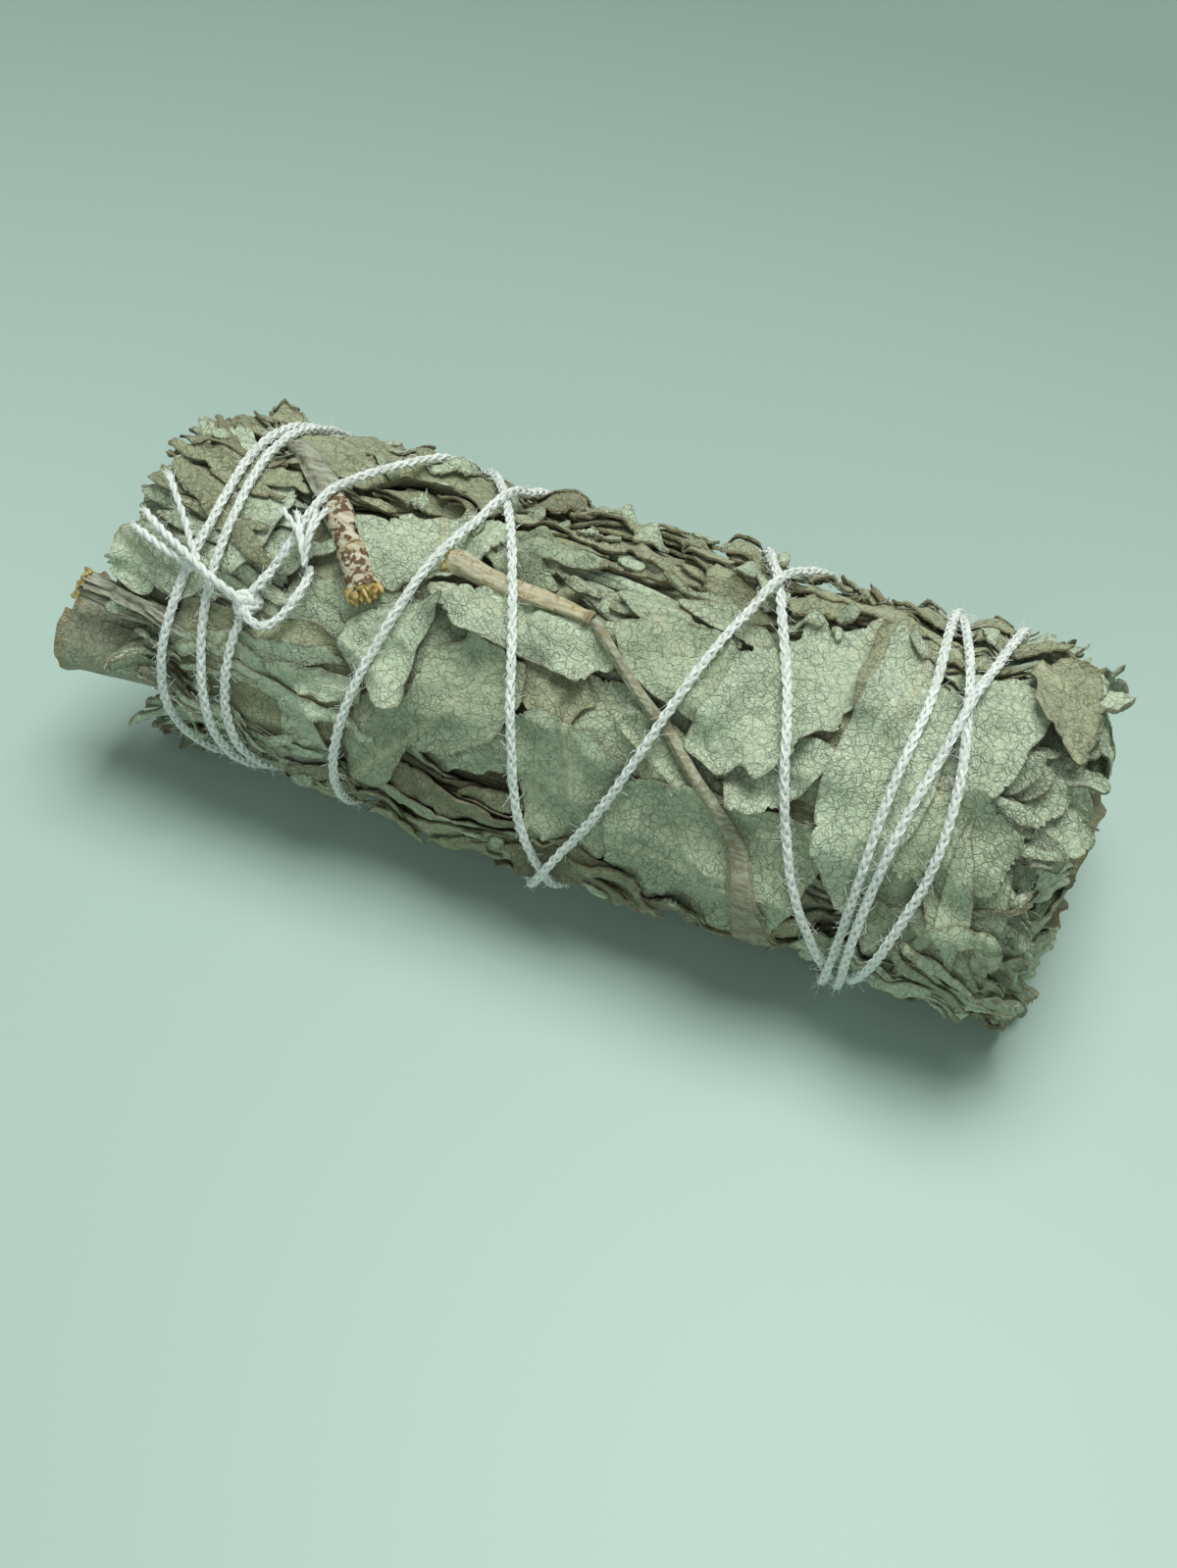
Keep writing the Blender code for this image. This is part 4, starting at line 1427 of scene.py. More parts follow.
SEAM_ZONES = (
    ("left_seams", Slot.GREY, (-42, -25), (66, 104), 20, 16),
    ("low_seams", Slot.OLIVE, (-30, 14), (98, 122), 18, 9),
    ("tip_seams", Slot.GREEN, (37, 48), (62, 104), 14, 35),
    ("stem_end_seams", Slot.OLIVE, (-47, -38), (-14, 34), 9, 20),
    ("rear_seams", Slot.GREY, (-42, 42), (-150, -58), 26, 12),
)
SHRED_ZONES = (
    ("top_by_the_stems", Slot.OLIVE, (-44, -16), (-56, -6), 70, 6),
    ("top_by_the_tips", Slot.OLIVE, (-16, 38), (-52, -10), 76, 6),
    ("middle", Slot.GREEN, (-12, 16), (-10, 34), 32, 12),
    ("stem_end", Slot.GREY, (-48, -36), (-16, 46), 18, 12),
    ("low_front", Slot.OLIVE, (-38, 30), (84, 128), 84, 8),
    ("low_left", Slot.GREY, (-42, -24), (56, 96), 34, 14),
    ("tip_end", Slot.GREY, (36, 48), (30, 110), 24, 30),
    ("back", Slot.GREEN, (-44, 44), (-150, -60), 60, 12),
    ("underneath", Slot.OLIVE, (-44, 44), (128, 210), 40, 10),
)


@dataclass(frozen=True)
class FrontLeaf:
    """A leaf with a shape of its own: its corners as (x, angle), and how it has dried."""

    name: str
    slot: Slot
    heading: float
    corners: tuple[tuple[float, float], ...]
    nodes: tuple[str, ...] = ()
    tone: float = 0.0
    rough: float = 0.2
    tears: float = 0.0
    crumple: float = 0.3
    rib: float = 0.2
    lift: float = 0.35


FIRST_FRONT_NUMBER = 31
FRONT_LEAVES = (
    FrontLeaf("dark_low", Slot.OLIVE, 5, ((-33, 82), (-20, 84), (-4, 88), (8, 98), (8, 118), (-14,
        118), (-34, 108)), tone=-0.5, crumple=0.5),
    FrontLeaf("low_front", Slot.GREEN, 8, ((-24, 94), (-12, 96), (2, 100), (12, 104), (11, 119),
        (-8, 121), (-22, 116)), ("lower_front_leaf",), tone=0.0, tears=0.6, crumple=0.4),
    FrontLeaf("under_front", Slot.OLIVE, 0, ((-41, 48), (-26, 44), (-17, 56), (-20, 84), (-34,
        92), (-42, 80)), ("under_leaf_front",), tone=-0.1, tears=0.5),
    FrontLeaf("under_tip", Slot.GREEN, 70, ((30, 58), (38, 44), (46, 48), (47.5, 78), (44, 100),
        (33, 102)), ("under_leaf_tip",), tone=0.1, tears=0.4),
    FrontLeaf("lower_tip", Slot.GREY, 4, ((27, 100), (36, 94), (48, 96), (51, 102), (46, 116),
        (30, 124)), ("lower_tip_leaf",), tone=0.2, tears=0.8, lift=0.7),
    FrontLeaf("net_middle", Slot.GREEN, 35, ((1, 32), (7, 31), (13, 42), (16, 54), (11, 60), (5,
        56), (1, 48)), tone=0.2, crumple=0.4),
    FrontLeaf("yellow", Slot.OLIVE, 60, ((-5, 31), (-2, 29), (2, 32), (4, 41), (2, 50), (-2, 52),
        (-5, 43)), tone=0.8, rough=0.3),
    # Its pale tone is partly painted light, standing in for light on the lower front.
    FrontLeaf("low_middle", Slot.GREEN, 75, ((-4, 52), (-1.5, 46), (3, 46), (8, 55), (11, 66), (9,
        86), (5, 104), (1, 103), (-2, 82)), tone=0.55, crumple=0.45, rib=0.3),
    # Its pale tone is partly painted light, standing in for light on the lower front.
    FrontLeaf("pale_midrib", Slot.GREEN, 6, ((7, 62), (12, 55), (20, 54), (28, 56), (29, 68), (26,
        96), (22, 112), (14, 114), (8, 98)), tone=0.5, rib=0.4, crumple=0.3),
    FrontLeaf("right_of_stalk", Slot.GREEN, 30, ((3, 16), (8, 8), (14, 7), (17, 20), (15, 38), (9,
        33), (5, 26)), tone=0.1),
    FrontLeaf("by_the_twig", Slot.GREY, 5, ((-17, 20), (-10, 14), (-3, 13), (2, 18), (5, 28), (2,
        36), (-5, 33), (-12, 31)), tone=0.35, tears=0.5),
    FrontLeaf("upper_middle", Slot.GREY, 70, ((-26, 8), (-22, -4), (-16, -11), (-11, -9), (-12,
        4), (-15, 16), (-20, 26), (-23, 22)), tone=0.4, rib=0.25),
    FrontLeaf("top_strip", Slot.OLIVE, 0, ((-40, -24), (-36, -44), (-22, -46), (-15, -38), (-14,
        -14), (-22, -13), (-32, -10)), tone=0.2, crumple=0.55),
    FrontLeaf("broad", Slot.GREEN, -52, ((-22, 98), (-21.5, 76), (-20, 60), (-15, 56), (-14, 40),
        (-9, 31), (-4, 34), (-3, 48), (-4.5, 60), (-9, 72), (-14, 74), (-15.5, 88), (-18, 97)),
        ("broad_leaf",), tone=-0.2, rib=0.26, rough=0.3, crumple=0.22),
    FrontLeaf("beside_broad", Slot.GREY, 95, ((-24, 48), (-23, 38), (-19, 29), (-13.5, 23), (-15,
        40), (-14.5, 58), (-16, 60), (-20, 59)), tone=0.45, rib=0.1, lift=0.5),
    FrontLeaf("behind_torn", Slot.GREY, 20, ((15, 40), (22, 30), (28, 30), (25.5, 46), (23, 54),
        (19, 56)), tone=0.3, tears=0.3),
    FrontLeaf("torn", Slot.GREY, 118, ((13, 44), (14, 31), (15.5, 13), (17, 0), (20, -8), (26,
        -14), (29, -12), (27.5, -3), (28, 8), (27.5, 20), (24, 31), (22.5, 41), (21, 46), (19, 42),
        (17.5, 50)), ("torn_leaf",), tone=0.3, rough=0.3, tears=0.5, rib=0.16, lift=0.55),
    FrontLeaf("folded_green", Slot.OLIVE, 90, ((26.5, -10), (29.5, -12), (29.5, 12), (27.5, 20),
        (26.5, 8)), tone=0.0),
    FrontLeaf("tip_side", Slot.GREY, 80, ((36, -4), (40, -9), (43, -4), (44.5, 5), (44, 18), (42,
        33), (39, 32), (37, 18)), ("tip_side_leaf",), tone=0.35, rib=0.1, lift=0.5),
    FrontLeaf("round_tip", Slot.GREEN, 60, ((35, 34), (41, 30), (46, 40), (45, 56), (40, 66), (35,
        60)), tone=0.2, crumple=0.4),
    FrontLeaf("big_oval", Slot.GREY, 92, ((28, -9), (29.5, -14), (32.5, -11), (35.5, 2), (37, 17),
        (37, 34), (36, 50), (34.5, 66), (32.5, 82), (31.5, 88), (29.5, 76), (27.5, 60), (26.5, 44), (27,
        25), (28, 8)), ("big_oval_leaf",), tone=0.7, rough=0.08, rib=0.2, crumple=0.12, lift=0.2),
    FrontLeaf("khaki_tip", Slot.OLIVE, 40, ((41, -12), (44, -28), (47, -20), (49, -4), (49.5, 8),
        (48.5, 16), (45.5, 10), (43, 2)), tone=0.6, rough=0.3, lift=0.6),
    FrontLeaf("netted_left", Slot.GREY, 25, ((-51, 36), (-49.5, 30), (-45, 29), (-39, 37), (-38.5,
        44), (-41, 50), (-44.5, 48), (-45, 53), (-49, 48)), ("left_leaf",), tone=0.2, rough=0.25,
        tears=0.4, lift=0.6),
    FrontLeaf("pale_stem_end", Slot.GREY, 35, ((-48.5, -14), (-43, -20), (-39, -9), (-40, 3),
        (-44.5, -1)), ("top_left_leaf",), tone=0.5),
    FrontLeaf("olive_stem_end", Slot.OLIVE, 20, ((-48, 5), (-44, 3), (-39.5, 5), (-38.5, 13),
        (-41, 22), (-44, 20), (-47, 14)), tone=0.3, tears=0.5),
    FrontLeaf("smooth_left", Slot.GREY, 100, ((-39, 10), (-39, 0), (-36, -5), (-33.5, 2), (-33,
        14), (-34, 26), (-36, 38), (-38, 30)), tone=0.25, rib=0.12, crumple=0.15),
    FrontLeaf("strip_high", Slot.GREY, 0, ((-43, 60), (-36, 56), (-30, 51), (-24, 49), (-22, 54),
        (-28, 59), (-35, 64), (-43, 66)), tone=0.45, rib=0.05),
    FrontLeaf("strip_steep", Slot.GREY, 55, ((-36, 58), (-32, 57), (-27, 65), (-24.5, 76), (-23,
        88), (-22.5, 104), (-26, 102), (-29, 97), (-28, 79), (-30, 69)), ("shred_leaf",), tone=0.35,
        rib=0.08, tears=0.4, lift=0.6),
    FrontLeaf("strip_short", Slot.GREY, 15, ((-31, 59), (-25, 56), (-20.5, 59), (-20, 67), (-24,
        68), (-28, 66)), tone=0.6, lift=0.5),
)


# The string's route from the knot and back to it, as (turned angle, x), as in the part.
KNOT_PLACE = (-33.8, 44.0)
STRING_ROUTE = [
    (44, -33.8), (58, -34.4), (75, -34.6), (92, -34.1), (110, -32.8), (150, -32.6), (180, -32.9),
    (210, -33.6), (240, -34.6), (270, -36.5), (314, -39.6), (349, -40.4), (376, -40.2),
    (403, -40.9), (436, -41.6), (464, -41.1), (510, -39.4), (540, -38.9), (600, -38.4),
    (660, -38.3), (709, -38.8), (736, -38.4), (764, -38.1), (803, -36.7), (825, -35.5),
    (870, -35.0), (900, -35.2), (930, -35.4), (960, -34.0), (990, -29.5), (1025, -21.0),
    (1061, -13.4), (1092, -8.3), (1131, -3.6), (1163, -1.4), (1179, 0.3), (1230, 3.4),
    (1260, 5.0), (1290, 6.2), (1350, 9.0), (1400, 12.6), (1424, 16.0), (1465, 21.6),
    (1510, 25.9), (1538, 29.4), (1560, 31.6), (1590, 33.3), (1620, 33.7), (1650, 33.9),
    (1710, 33.2), (1754, 32.9), (1800, 36.6), (1829, 38.7), (1853, 38.9), (1885, 36.6),
    (1915, 33.8), (1950, 35.6), (1980, 36.2), (2010, 36.6), (2070, 37.8), (2114, 39.0),
    (2143, 38.3), (2177, 36.8), (2207, 35.0), (2233, 33.9), (2271, 32.9), (2310, 31.2),
    (2340, 31.0), (2370, 31.2), (2430, 31.8), (2489, 32.4), (2529, 33.6), (2560, 33.0),
    (2588, 32.6), (2630, 31.4), (2670, 28.8), (2700, 27.9), (2730, 27.0), (2790, 22.6),
    (2846, 17.9), (2862, 16.1), (2889, 13.3), (2912, 11.3), (2936, 8.8), (2963, 5.2),
    (2987, 0.9), (3030, -4.0), (3060, -6.0), (3090, -7.6), (3150, -10.4), (3197, -12.9),
    (3234, -14.9), (3252, -16.7), (3276, -18.7), (3299, -20.6), (3316, -21.7), (3363, -22.9),
    (3390, -23.3), (3420, -23.6), (3450, -23.6), (3510, -23.0), (3554, -23.4), (3576, -26.4),
    (3593, -28.6), (3605, -30.0), (3623, -31.3), (3634, -32.4), (3644, -33.8),
]


@dataclass
class Binding:
    """The cotton string: ten turns, the knot and its two frayed tails."""

    palette: Palette
    pile: Pile
    diameter: float = 1.1
    plies: int = 6
    ply_radius: float = 0.21
    spread: float = 0.27
    weave: float = 0.07
    twist: float = 4.0
    step: float = 0.45
    braid_step: float = 0.33
    fibres: int = 3600
    fibre_length: float = 1.35
    laid: list[Array] = field(default_factory=list)

    def way(self) -> tuple[Array, Array]:
        """The string's way over the leaves, every step.

        Returns:
            Its places along the bundle and round it, both in millimetres.
        """
        turned = np.array([turn for turn, _ in STRING_ROUTE], float)
        along = np.array([x for _, x in STRING_ROUTE], float)
        fine = np.arange(turned[0], turned[-1], self.step / BUNDLE.radius * 57.3)
        slope = np.gradient(along, turned)
        index = np.clip(np.searchsorted(turned, fine, "right") - 1, 0, len(turned) - 2)
        span = turned[index + 1] - turned[index]
        t = (fine - turned[index]) / span
        x = ((2 * t**3 - 3 * t**2 + 1) * along[index] + (t**3 - 2 * t**2 + t) * slope[index] * span
             + (3 * t**2 - 2 * t**3) * along[index + 1] + (t**3 - t**2) * slope[index + 1] * span)
        return x, BUNDLE.degrees(fine)

    def seat(self, x: Array, arc: Array, ease: int) -> Array:
        """How far out a cord's middle runs: pulled tight over the pressed leaves.

        Args:
            x: Along the bundle.
            arc: Round it.
            ease: How far its way is smoothed, in steps.

        Returns:
            One reach for each place.
        """
        reach = np.zeros(len(x))
        for dx, da in ((0, 0), (0.4, 0), (-0.4, 0), (0, 0.4), (0, -0.4)):
            reach = np.maximum(reach, self.pile.read(x + dx, arc + da))
        padded = np.pad(reach, 2 * ease, "edge")
        windows = np.lib.stride_tricks.sliding_window_view(padded, 2 * ease + 1)
        high = np.percentile(windows, 80, axis=1)
        smooth = np.convolve(high, np.ones(2 * ease + 1) / (2 * ease + 1), "valid")
        return smooth + self.diameter * 0.36

    def climb(self, points: Array, own: bool) -> Array:
        """How much each point of a cord must rise to pass over the cords laid before it.

        Args:
            points: The cord's middle line.
            own: Whether it crosses itself.

        Returns:
            One rise for each point, in millimetres.
        """
        lifts = np.zeros(len(points))
        older = np.concatenate(self.laid) if self.laid else np.zeros((0, 3))
        skip = int(6 / self.step)
        clear = self.diameter * 0.86 * MM
        for index, point in enumerate(points):
            under = [older] if len(older) else []
            if own and index > skip:
                under.append(points[:index - skip])
            for group in under:
                gap = np.linalg.norm(group - point, axis=1)
                near = gap.min()
                if near < clear:
                    raised = lifts[:index - skip][gap.argmin()] if group is not older else 0
                    lifts[index] = max(lifts[index],
                                       math.sqrt(clear**2 - near**2) / MM + 0.6 * raised)
        window = 7
        padded = np.pad(lifts, window)
        shape = np.cos(np.linspace(-1, 1, 2 * window + 1) * np.pi / 2) ** 0.8
        return np.array([(padded[i:i + 2 * window + 1] * shape).max() for i in range(len(lifts))])

    def course(self, x: Array, arc: Array, ease: int = 9, own: bool = False,
               extra: Array | float = 0.0) -> Array:
        """The middle line of a cord laid on the leaves and the cords before it, in metres.

        Args:
            x: Along the bundle.
            arc: Round it.
            ease: How far its way is smoothed, in steps.
            own: Whether it crosses itself.
            extra: How far it stands off, in millimetres.

        Returns:
            Its points.
        """
        reach = self.seat(x, arc, ease) + extra
        lifts = self.climb(BUNDLE.world(x, arc, reach), own)
        points = BUNDLE.world(x, arc, reach + lifts)
        points[:, 2] = np.maximum(points[:, 2], 0.72 * MM)
        self.laid.append(points)
        return points

    def frames(self, points: Array) -> tuple[Array, Array]:
        """Two directions across a cord at each of its points, turning as little as they can.

        Args:
            points: The middle line.

        Returns:
            The two directions at each point.
        """
        ahead = np.gradient(points, axis=0)
        ahead /= np.linalg.norm(ahead, axis=1)[:, None]
        normal = np.array([0.0, 0.3, 1.0])
        ups = []
        for direction in ahead:
            normal = normal - direction * (normal @ direction)
            normal = normal / np.linalg.norm(normal)
            ups.append(normal)
        ups = np.array(ups)
        return ups, np.cross(ahead, ups)

    def yarn(self, solid: Solid, points: Array, plies: int, radius: float, spread: Array | float,
             twist: float, sides: int = 7, weave: float = 0.0) -> None:
        """Add twisted strands round a middle line.

        Args:
            solid: The piece that they join.
            points: The middle line, in metres.
            plies: How many strands there are.
            radius: Each strand's radius, in millimetres.
            spread: How far each strand's middle is from the middle line, in millimetres.
            twist: The length of a full turn, in millimetres.
            sides: The number of sides of a strand.
            weave: How far braided strands go over and under each other, in millimetres. At 0
                they are twisted instead, all the same way.
        """
        length = np.concatenate([[0], np.cumsum(np.linalg.norm(np.diff(points, axis=0), axis=1))])
        up, side = self.frames(points)
        spread = np.broadcast_to(np.asarray(spread, float), len(points))
        wound = length / MM / twist * 2 * np.pi
        for ply in range(plies):
            hand = -1 if weave and ply % 2 else 1
            start = ply // 2 / (plies / 2) if weave else ply / plies
            turn = hand * wound + start * 2 * np.pi
            away = np.cos(turn)[:, None] * up + np.sin(turn)[:, None] * side
            lie = spread + hand * weave * np.cos(plies / 2 * wound)
            middle = points + away * lie[:, None] * MM
            round_up, round_side = self.frames(middle)
            swell = 1 + 0.10 * np.sin(length / MM * 3.1 + ply * 2.1)
            rings = []
            around = np.arange(sides) / sides * 2 * np.pi + 0.4
            for corner in around:
                rings.append(middle + (np.cos(corner) * round_up + np.sin(corner) * round_side)
                             * (radius * swell * MM)[:, None])
            rings = np.stack(rings, 1)
            depth = ((rings - points[:, None]) ** 2).sum(-1) ** 0.5 / MM
            full = spread + weave + radius
            # edge grows towards the cord's middle, so the cotton finish paints shade between the
            # strands.
            edge = np.clip(1 - depth / full[:, None], 0, 1) * 1.6
            add_tube(solid, rings, edge=edge.ravel())

    def braid(self, solid: Solid, points: Array) -> None:
        """Add the braided string along a middle line.

        Args:
            solid: The piece that it joins.
            points: The middle line.
        """
        count = int(len(points) * self.step / self.braid_step)
        fine = np.linspace(0, len(points) - 1, count)
        line = np.stack([np.interp(fine, np.arange(len(points)), axis) for axis in points.T], 1)
        self.yarn(solid, line, self.plies, self.ply_radius, self.spread, self.twist, 4, self.weave)

    def fuzz(self, solid: Solid, points: Array, count: int, reach: float, seed: int) -> None:
        """Add fine loose fibres that stand off the cotton.

        Args:
            solid: The piece that they join.
            points: The cord's middle line.
            count: How many there are.
            reach: Their length, in millimetres.
            seed: For their places.
        """
        rng = np.random.default_rng(seed)
        up, side = self.frames(points)
        ahead = np.cross(up, side)
        for index in rng.integers(1, len(points) - 1, count):
            turn = rng.uniform(0, 2 * np.pi)
            away = np.cos(turn) * up[index] + np.sin(turn) * side[index]
            start = points[index] + away * 0.5 * MM
            heading = away * rng.uniform(0.2, 1.0) + ahead[index] * rng.uniform(-1.4, 1.4)
            heading = heading / np.linalg.norm(heading)
            bend = np.cross(heading, away) * rng.uniform(-1, 1) + away * rng.uniform(-0.7, 0.3)
            length = rng.uniform(0.35, 1.0) * reach * MM
            t = np.linspace(0, 1, 5)[:, None]
            line = start + heading * length * t + bend * length * 0.6 * t**2
            line[:, 2] = np.maximum(line[:, 2], 0.1 * MM)
            one, two = self.frames(line)
            thin = 0.022 * MM
            rings = np.stack([line + one * thin, line - 0.5 * one * thin + 0.87 * two * thin,
                              line - 0.5 * one * thin - 0.87 * two * thin], 1)
            add_tube(solid, rings)

    def build(self) -> None:
        """Build the wound string, the knot and the tails."""
        x, arc = self.way()
        points = self.course(x, arc, own=True)
        solid = Solid()
        self.braid(solid, points)
        solid.piece("wound_string", self.palette.string, Slot.STRING, ("binding_string",))
        fuzz = Solid()
        self.fuzz(fuzz, points, self.fibres, self.fibre_length, SEED + 5)
        fuzz.piece("string_fuzz", self.palette.string, Slot.STRING)
        self.knot()
        self.tails()
        LOG.info("string: %.0f mm", np.linalg.norm(np.diff(points, axis=0), axis=1).sum() / MM)

    def knot(self) -> None:
        """Build the knot: the string's turns drawn tight through each other."""
        centre_arc = BUNDLE.degrees(KNOT_PLACE[1])
        base = self.seat(np.array([KNOT_PLACE[0]] * 9), np.array([centre_arc] * 9), 2)[0]
        t = np.linspace(0, 2 * np.pi, 90)
        solid = Solid()
        for turn, size in ((0.0, 1.0), (2.2, 0.92), (4.1, 0.8)):
            x = KNOT_PLACE[0] + size * 0.85 * np.cos(t + turn)
            arc = centre_arc + size * 0.8 * np.sin(t + turn) * (1 + 0.2 * np.cos(2 * t))
            reach = base + 0.55 + 0.75 * np.sin(2 * t + 1.3 * turn) + 0.2 * turn / 4
            self.yarn(solid, BUNDLE.world(x, arc, reach), 3, 0.36, 0.3, 3.0)
        solid.piece("knot", self.palette.string, Slot.STRING, ("string_knot",))

    def cord_to(self, route: list[tuple[float, float, float]]) -> Array:
        """A smooth cord over (x, angle, height above the leaves) places."""
        path = turned_path(route, self.step)
        return self.course(path[:, 0], path[:, 1], 5, extra=path[:, 2])

    def fray(self, solid: Solid, points: Array, strands: int, radius: float, splay: float,
             length: float, seed: int) -> None:
        """Let a cord's end come apart into a brush of fibres.

        Args:
            solid: The piece that they join.
            points: The cord's middle line.
            strands: How many fibres there are.
            radius: Their radius.
            splay: How far they spread.
            length: Their length, in millimetres.
            seed: For their places.
        """
        rng = np.random.default_rng(seed)
        up, side = self.frames(points)
        ahead = points[-1] - points[-3]
        ahead = ahead / np.linalg.norm(ahead)
        t = np.linspace(0, 1, 7)[:, None]
        for _ in range(strands):
            turn = rng.uniform(0, 2 * np.pi)
            out = np.cos(turn) * up[-1] * 0.5 + np.sin(turn) * side[-1]
            span = length * rng.uniform(0.5, 1.0) * MM
            start = points[-2] + out * rng.uniform(0, 0.3) * MM
            line = start + ahead * span * t + out * splay * rng.uniform(0.2, 1) * MM * t**1.5
            one, two = self.frames(line)
            thin = radius * MM * (1 - 0.6 * t)
            rings = [line + (np.cos(k * 1.257) * one + np.sin(k * 1.257) * two) * thin
                     for k in range(5)]
            add_tube(solid, np.stack(rings, 1))

    def tails(self) -> None:
        """Build the two tails: one split into three plies, one looped back into a tassel."""
        solid = Solid()
        for index, route in enumerate((
                [(-33.6, 44.5, 0.5), (-36.6, 40.5, 1.2), (-39.4, 38, 1.2), (-43, 36, 1.0),
                 (-46.8, 32.5, 0.9)],
                [(-33.6, 43.5, 0.6), (-36.8, 39.5, 1.5), (-39.6, 36, 1.7), (-43.2, 32, 1.3),
                 (-46.4, 27.5, 1.1)],
                [(-39.0, 36.5, 1.2), (-40.6, 31, 1.5), (-42.6, 24, 1.3), (-45.0, 16.5, 1.2)])):
            points = self.cord_to(route)
            self.yarn(solid, points, 2, 0.27 - 0.05 * (index == 2), 0.2, 2.6)
            self.fray(solid, points, 22, 0.06, 0.5, 1.6, SEED + index)
            self.fuzz(solid, points, 25, 1.0, SEED + 20 + index)
        solid.piece("long_tail", self.palette.string, Slot.STRING, ("string_tail_long",))
        solid = Solid()
        loop = self.cord_to([(-33.4, 45, 0.7), (-31.6, 48.5, 0.8), (-29.9, 47, 0.9),
                             (-28.7, 41, 1.0), (-28.2, 33, 1.0), (-28.6, 27, 0.9)])
        self.braid(solid, loop)
        for index, (x, angle) in enumerate(((-32.6, 15), (-31.5, 13.5), (-30.5, 12.5), (-29.4, 12),
                                            (-28.2, 11.5))):
            part = (x - -30.4) * 0.45
            points = self.cord_to([(-28.6, 28, 0.9), (-29.0 + 0.4 * part, 24, 0.9),
                                   (-29.6 + part, 19, 1.0), (x, angle, 0.8)])
            self.yarn(solid, points, 2, 0.2, 0.14, 2.4)
            self.fray(solid, points, 12, 0.05, 0.35, 1.1, SEED + 40 + index)
        self.fuzz(solid, loop, 60, 1.2, SEED + 50)
        solid.piece("loop_tail", self.palette.string, Slot.STRING, ("string_tail_loop",))


@dataclass
class Twigs:
    """The twigs and stalks that lie in the surface."""

    palette: Palette
    pile: Pile

    def build(self) -> None:
        """Build the broken twig, the pale twig, the leaf stalk and the thin stem."""
        self.broken_twig()
        self.centre_twig()
        self.leaf_stalk()
        self.thin_stem()

    def rod(self, solid: Solid, path: Array, radius: Array, number: float, ribs: float = 0.08,
            flat: float = 1.0, sides: int = 20, **values: Array) -> Array:
        """Add a woody rod along (x, arc, reach) places.

        Args:
            solid: The piece that it joins.
            path: Its middle line.
            radius: Its radius at each place, in millimetres.
            number: A number of its own, which its ribs depend on.
            ribs: How deep its ribs are, as a part of its radius.
            flat: Its height as a part of its width.
            sides: The number of its sides.
            values: Point values, one for each ring.

        Returns:
            Its rings of points, in metres.
        """
        x, arc, reach = path.T
        ahead = np.gradient(path[:, :2], axis=0)
        ahead /= np.maximum(np.hypot(*ahead.T), 1e-9)[:, None]
        turns = np.arange(sides) / sides * 2 * np.pi
        rows = np.arange(len(path))[:, None]
        rib = NOISE.fractal(2.4 * np.cos(turns)[None] + 0 * rows, 2.4 * np.sin(turns)[None],
                            number + rows * 0.05, 0.9, 2)
        girth = radius[:, None] * (1 + ribs * rib * (1 + 1.6 * values.get("under", 0 * reach)[:, None]))
        across = girth * np.cos(turns)[None]
        px = x[:, None] - ahead[:, 1:] * across
        pa = arc[:, None] + ahead[:, :1] * across
        out = reach[:, None] + girth * np.sin(turns)[None] * flat
        self.pile.add(px.ravel(), pa.ravel(), out.ravel())
        rings = BUNDLE.world(px, pa, out)
        spread = {key: np.repeat(value, sides) for key, value in values.items()}
        add_tube(solid, rings, **spread)
        return rings

    def splinters(self, solid: Solid, ring: Array, ahead: Array, count: int, length: float,
                  seed: int) -> None:
        """Add broken fibres of yellow wood over a rod's end.

        Args:
            solid: The piece that they join.
            ring: The last ring of the rod.
            ahead: The rod's direction there.
            count: How many there are.
            length: Their greatest length, in millimetres.
            seed: For their places.
        """
        rng = np.random.default_rng(seed)
        centre = ring.mean(0)
        for _ in range(count):
            spot = centre + (ring[rng.integers(len(ring))] - centre) * rng.uniform(0.1, 0.95)
            tip = spot + ahead * rng.uniform(0.2, 1) * length * MM
            tip += rng.uniform(-0.35, 0.35, 3) * MM
            wide = rng.uniform(0.22, 0.52) * MM
            one = np.cross(ahead, rng.uniform(-1, 1, 3))
            one = one / np.linalg.norm(one) * wide
            two = np.cross(ahead, one)
            rings = []
            for part, size in ((-0.6, 1.0), (0.5, 1.0), (0.85, 0.7), (1.0, 0.25)):
                middle = spot + (tip - spot) * part
                rings.append([middle + (one * a + two * b) * size
                              for a, b in ((1, 0), (0.4, 0.9), (-0.8, 0.6), (-0.8, -0.6), (0.4, -0.9))])
            add_tube(solid, np.array(rings), vein=rng.uniform(0.7, 1.0))

    def broken_twig(self) -> None:
        """Build the twig with mottled bark, a ring where a shoot grew and a broken yellow end."""
        flat = turned_path([(-37.6, -19), (-33.5, -9), (-29.8, 1.5), (-26.2, 13), (-23.3, 25),
                            (-22.2, 29)], 0.3)
        t = np.linspace(0, 1, len(flat))
        reach = 17.3 + 1.0 * t
        radius = 1.25 + 0.45 * t - 0.25 * np.exp(-((t - 0.48) / 0.05) ** 2)
        radius += 0.22 * np.exp(-((t - 0.80) / 0.018) ** 2) + 0.10 * np.exp(-((t - 0.55) / 0.02) ** 2)
        ring = 0.45 * np.exp(-((t - 0.80) / 0.014) ** 2)
        worn = np.clip((0.50 - t) * 14, 0, 1)
        solid = Solid()
        rings = self.rod(solid, np.column_stack([flat, reach]), radius, 61.0, 0.16, sides=26,
                         vein=ring, under=worn)
        ahead = rings[-1].mean(0) - rings[-4].mean(0)
        ahead /= np.linalg.norm(ahead)
        self.splinters(solid, rings[-1], ahead, 60, 1.3, SEED + 60)
        solid.piece("barked_twig", self.palette.bark, Slot.BARK, ("broken_twig",))

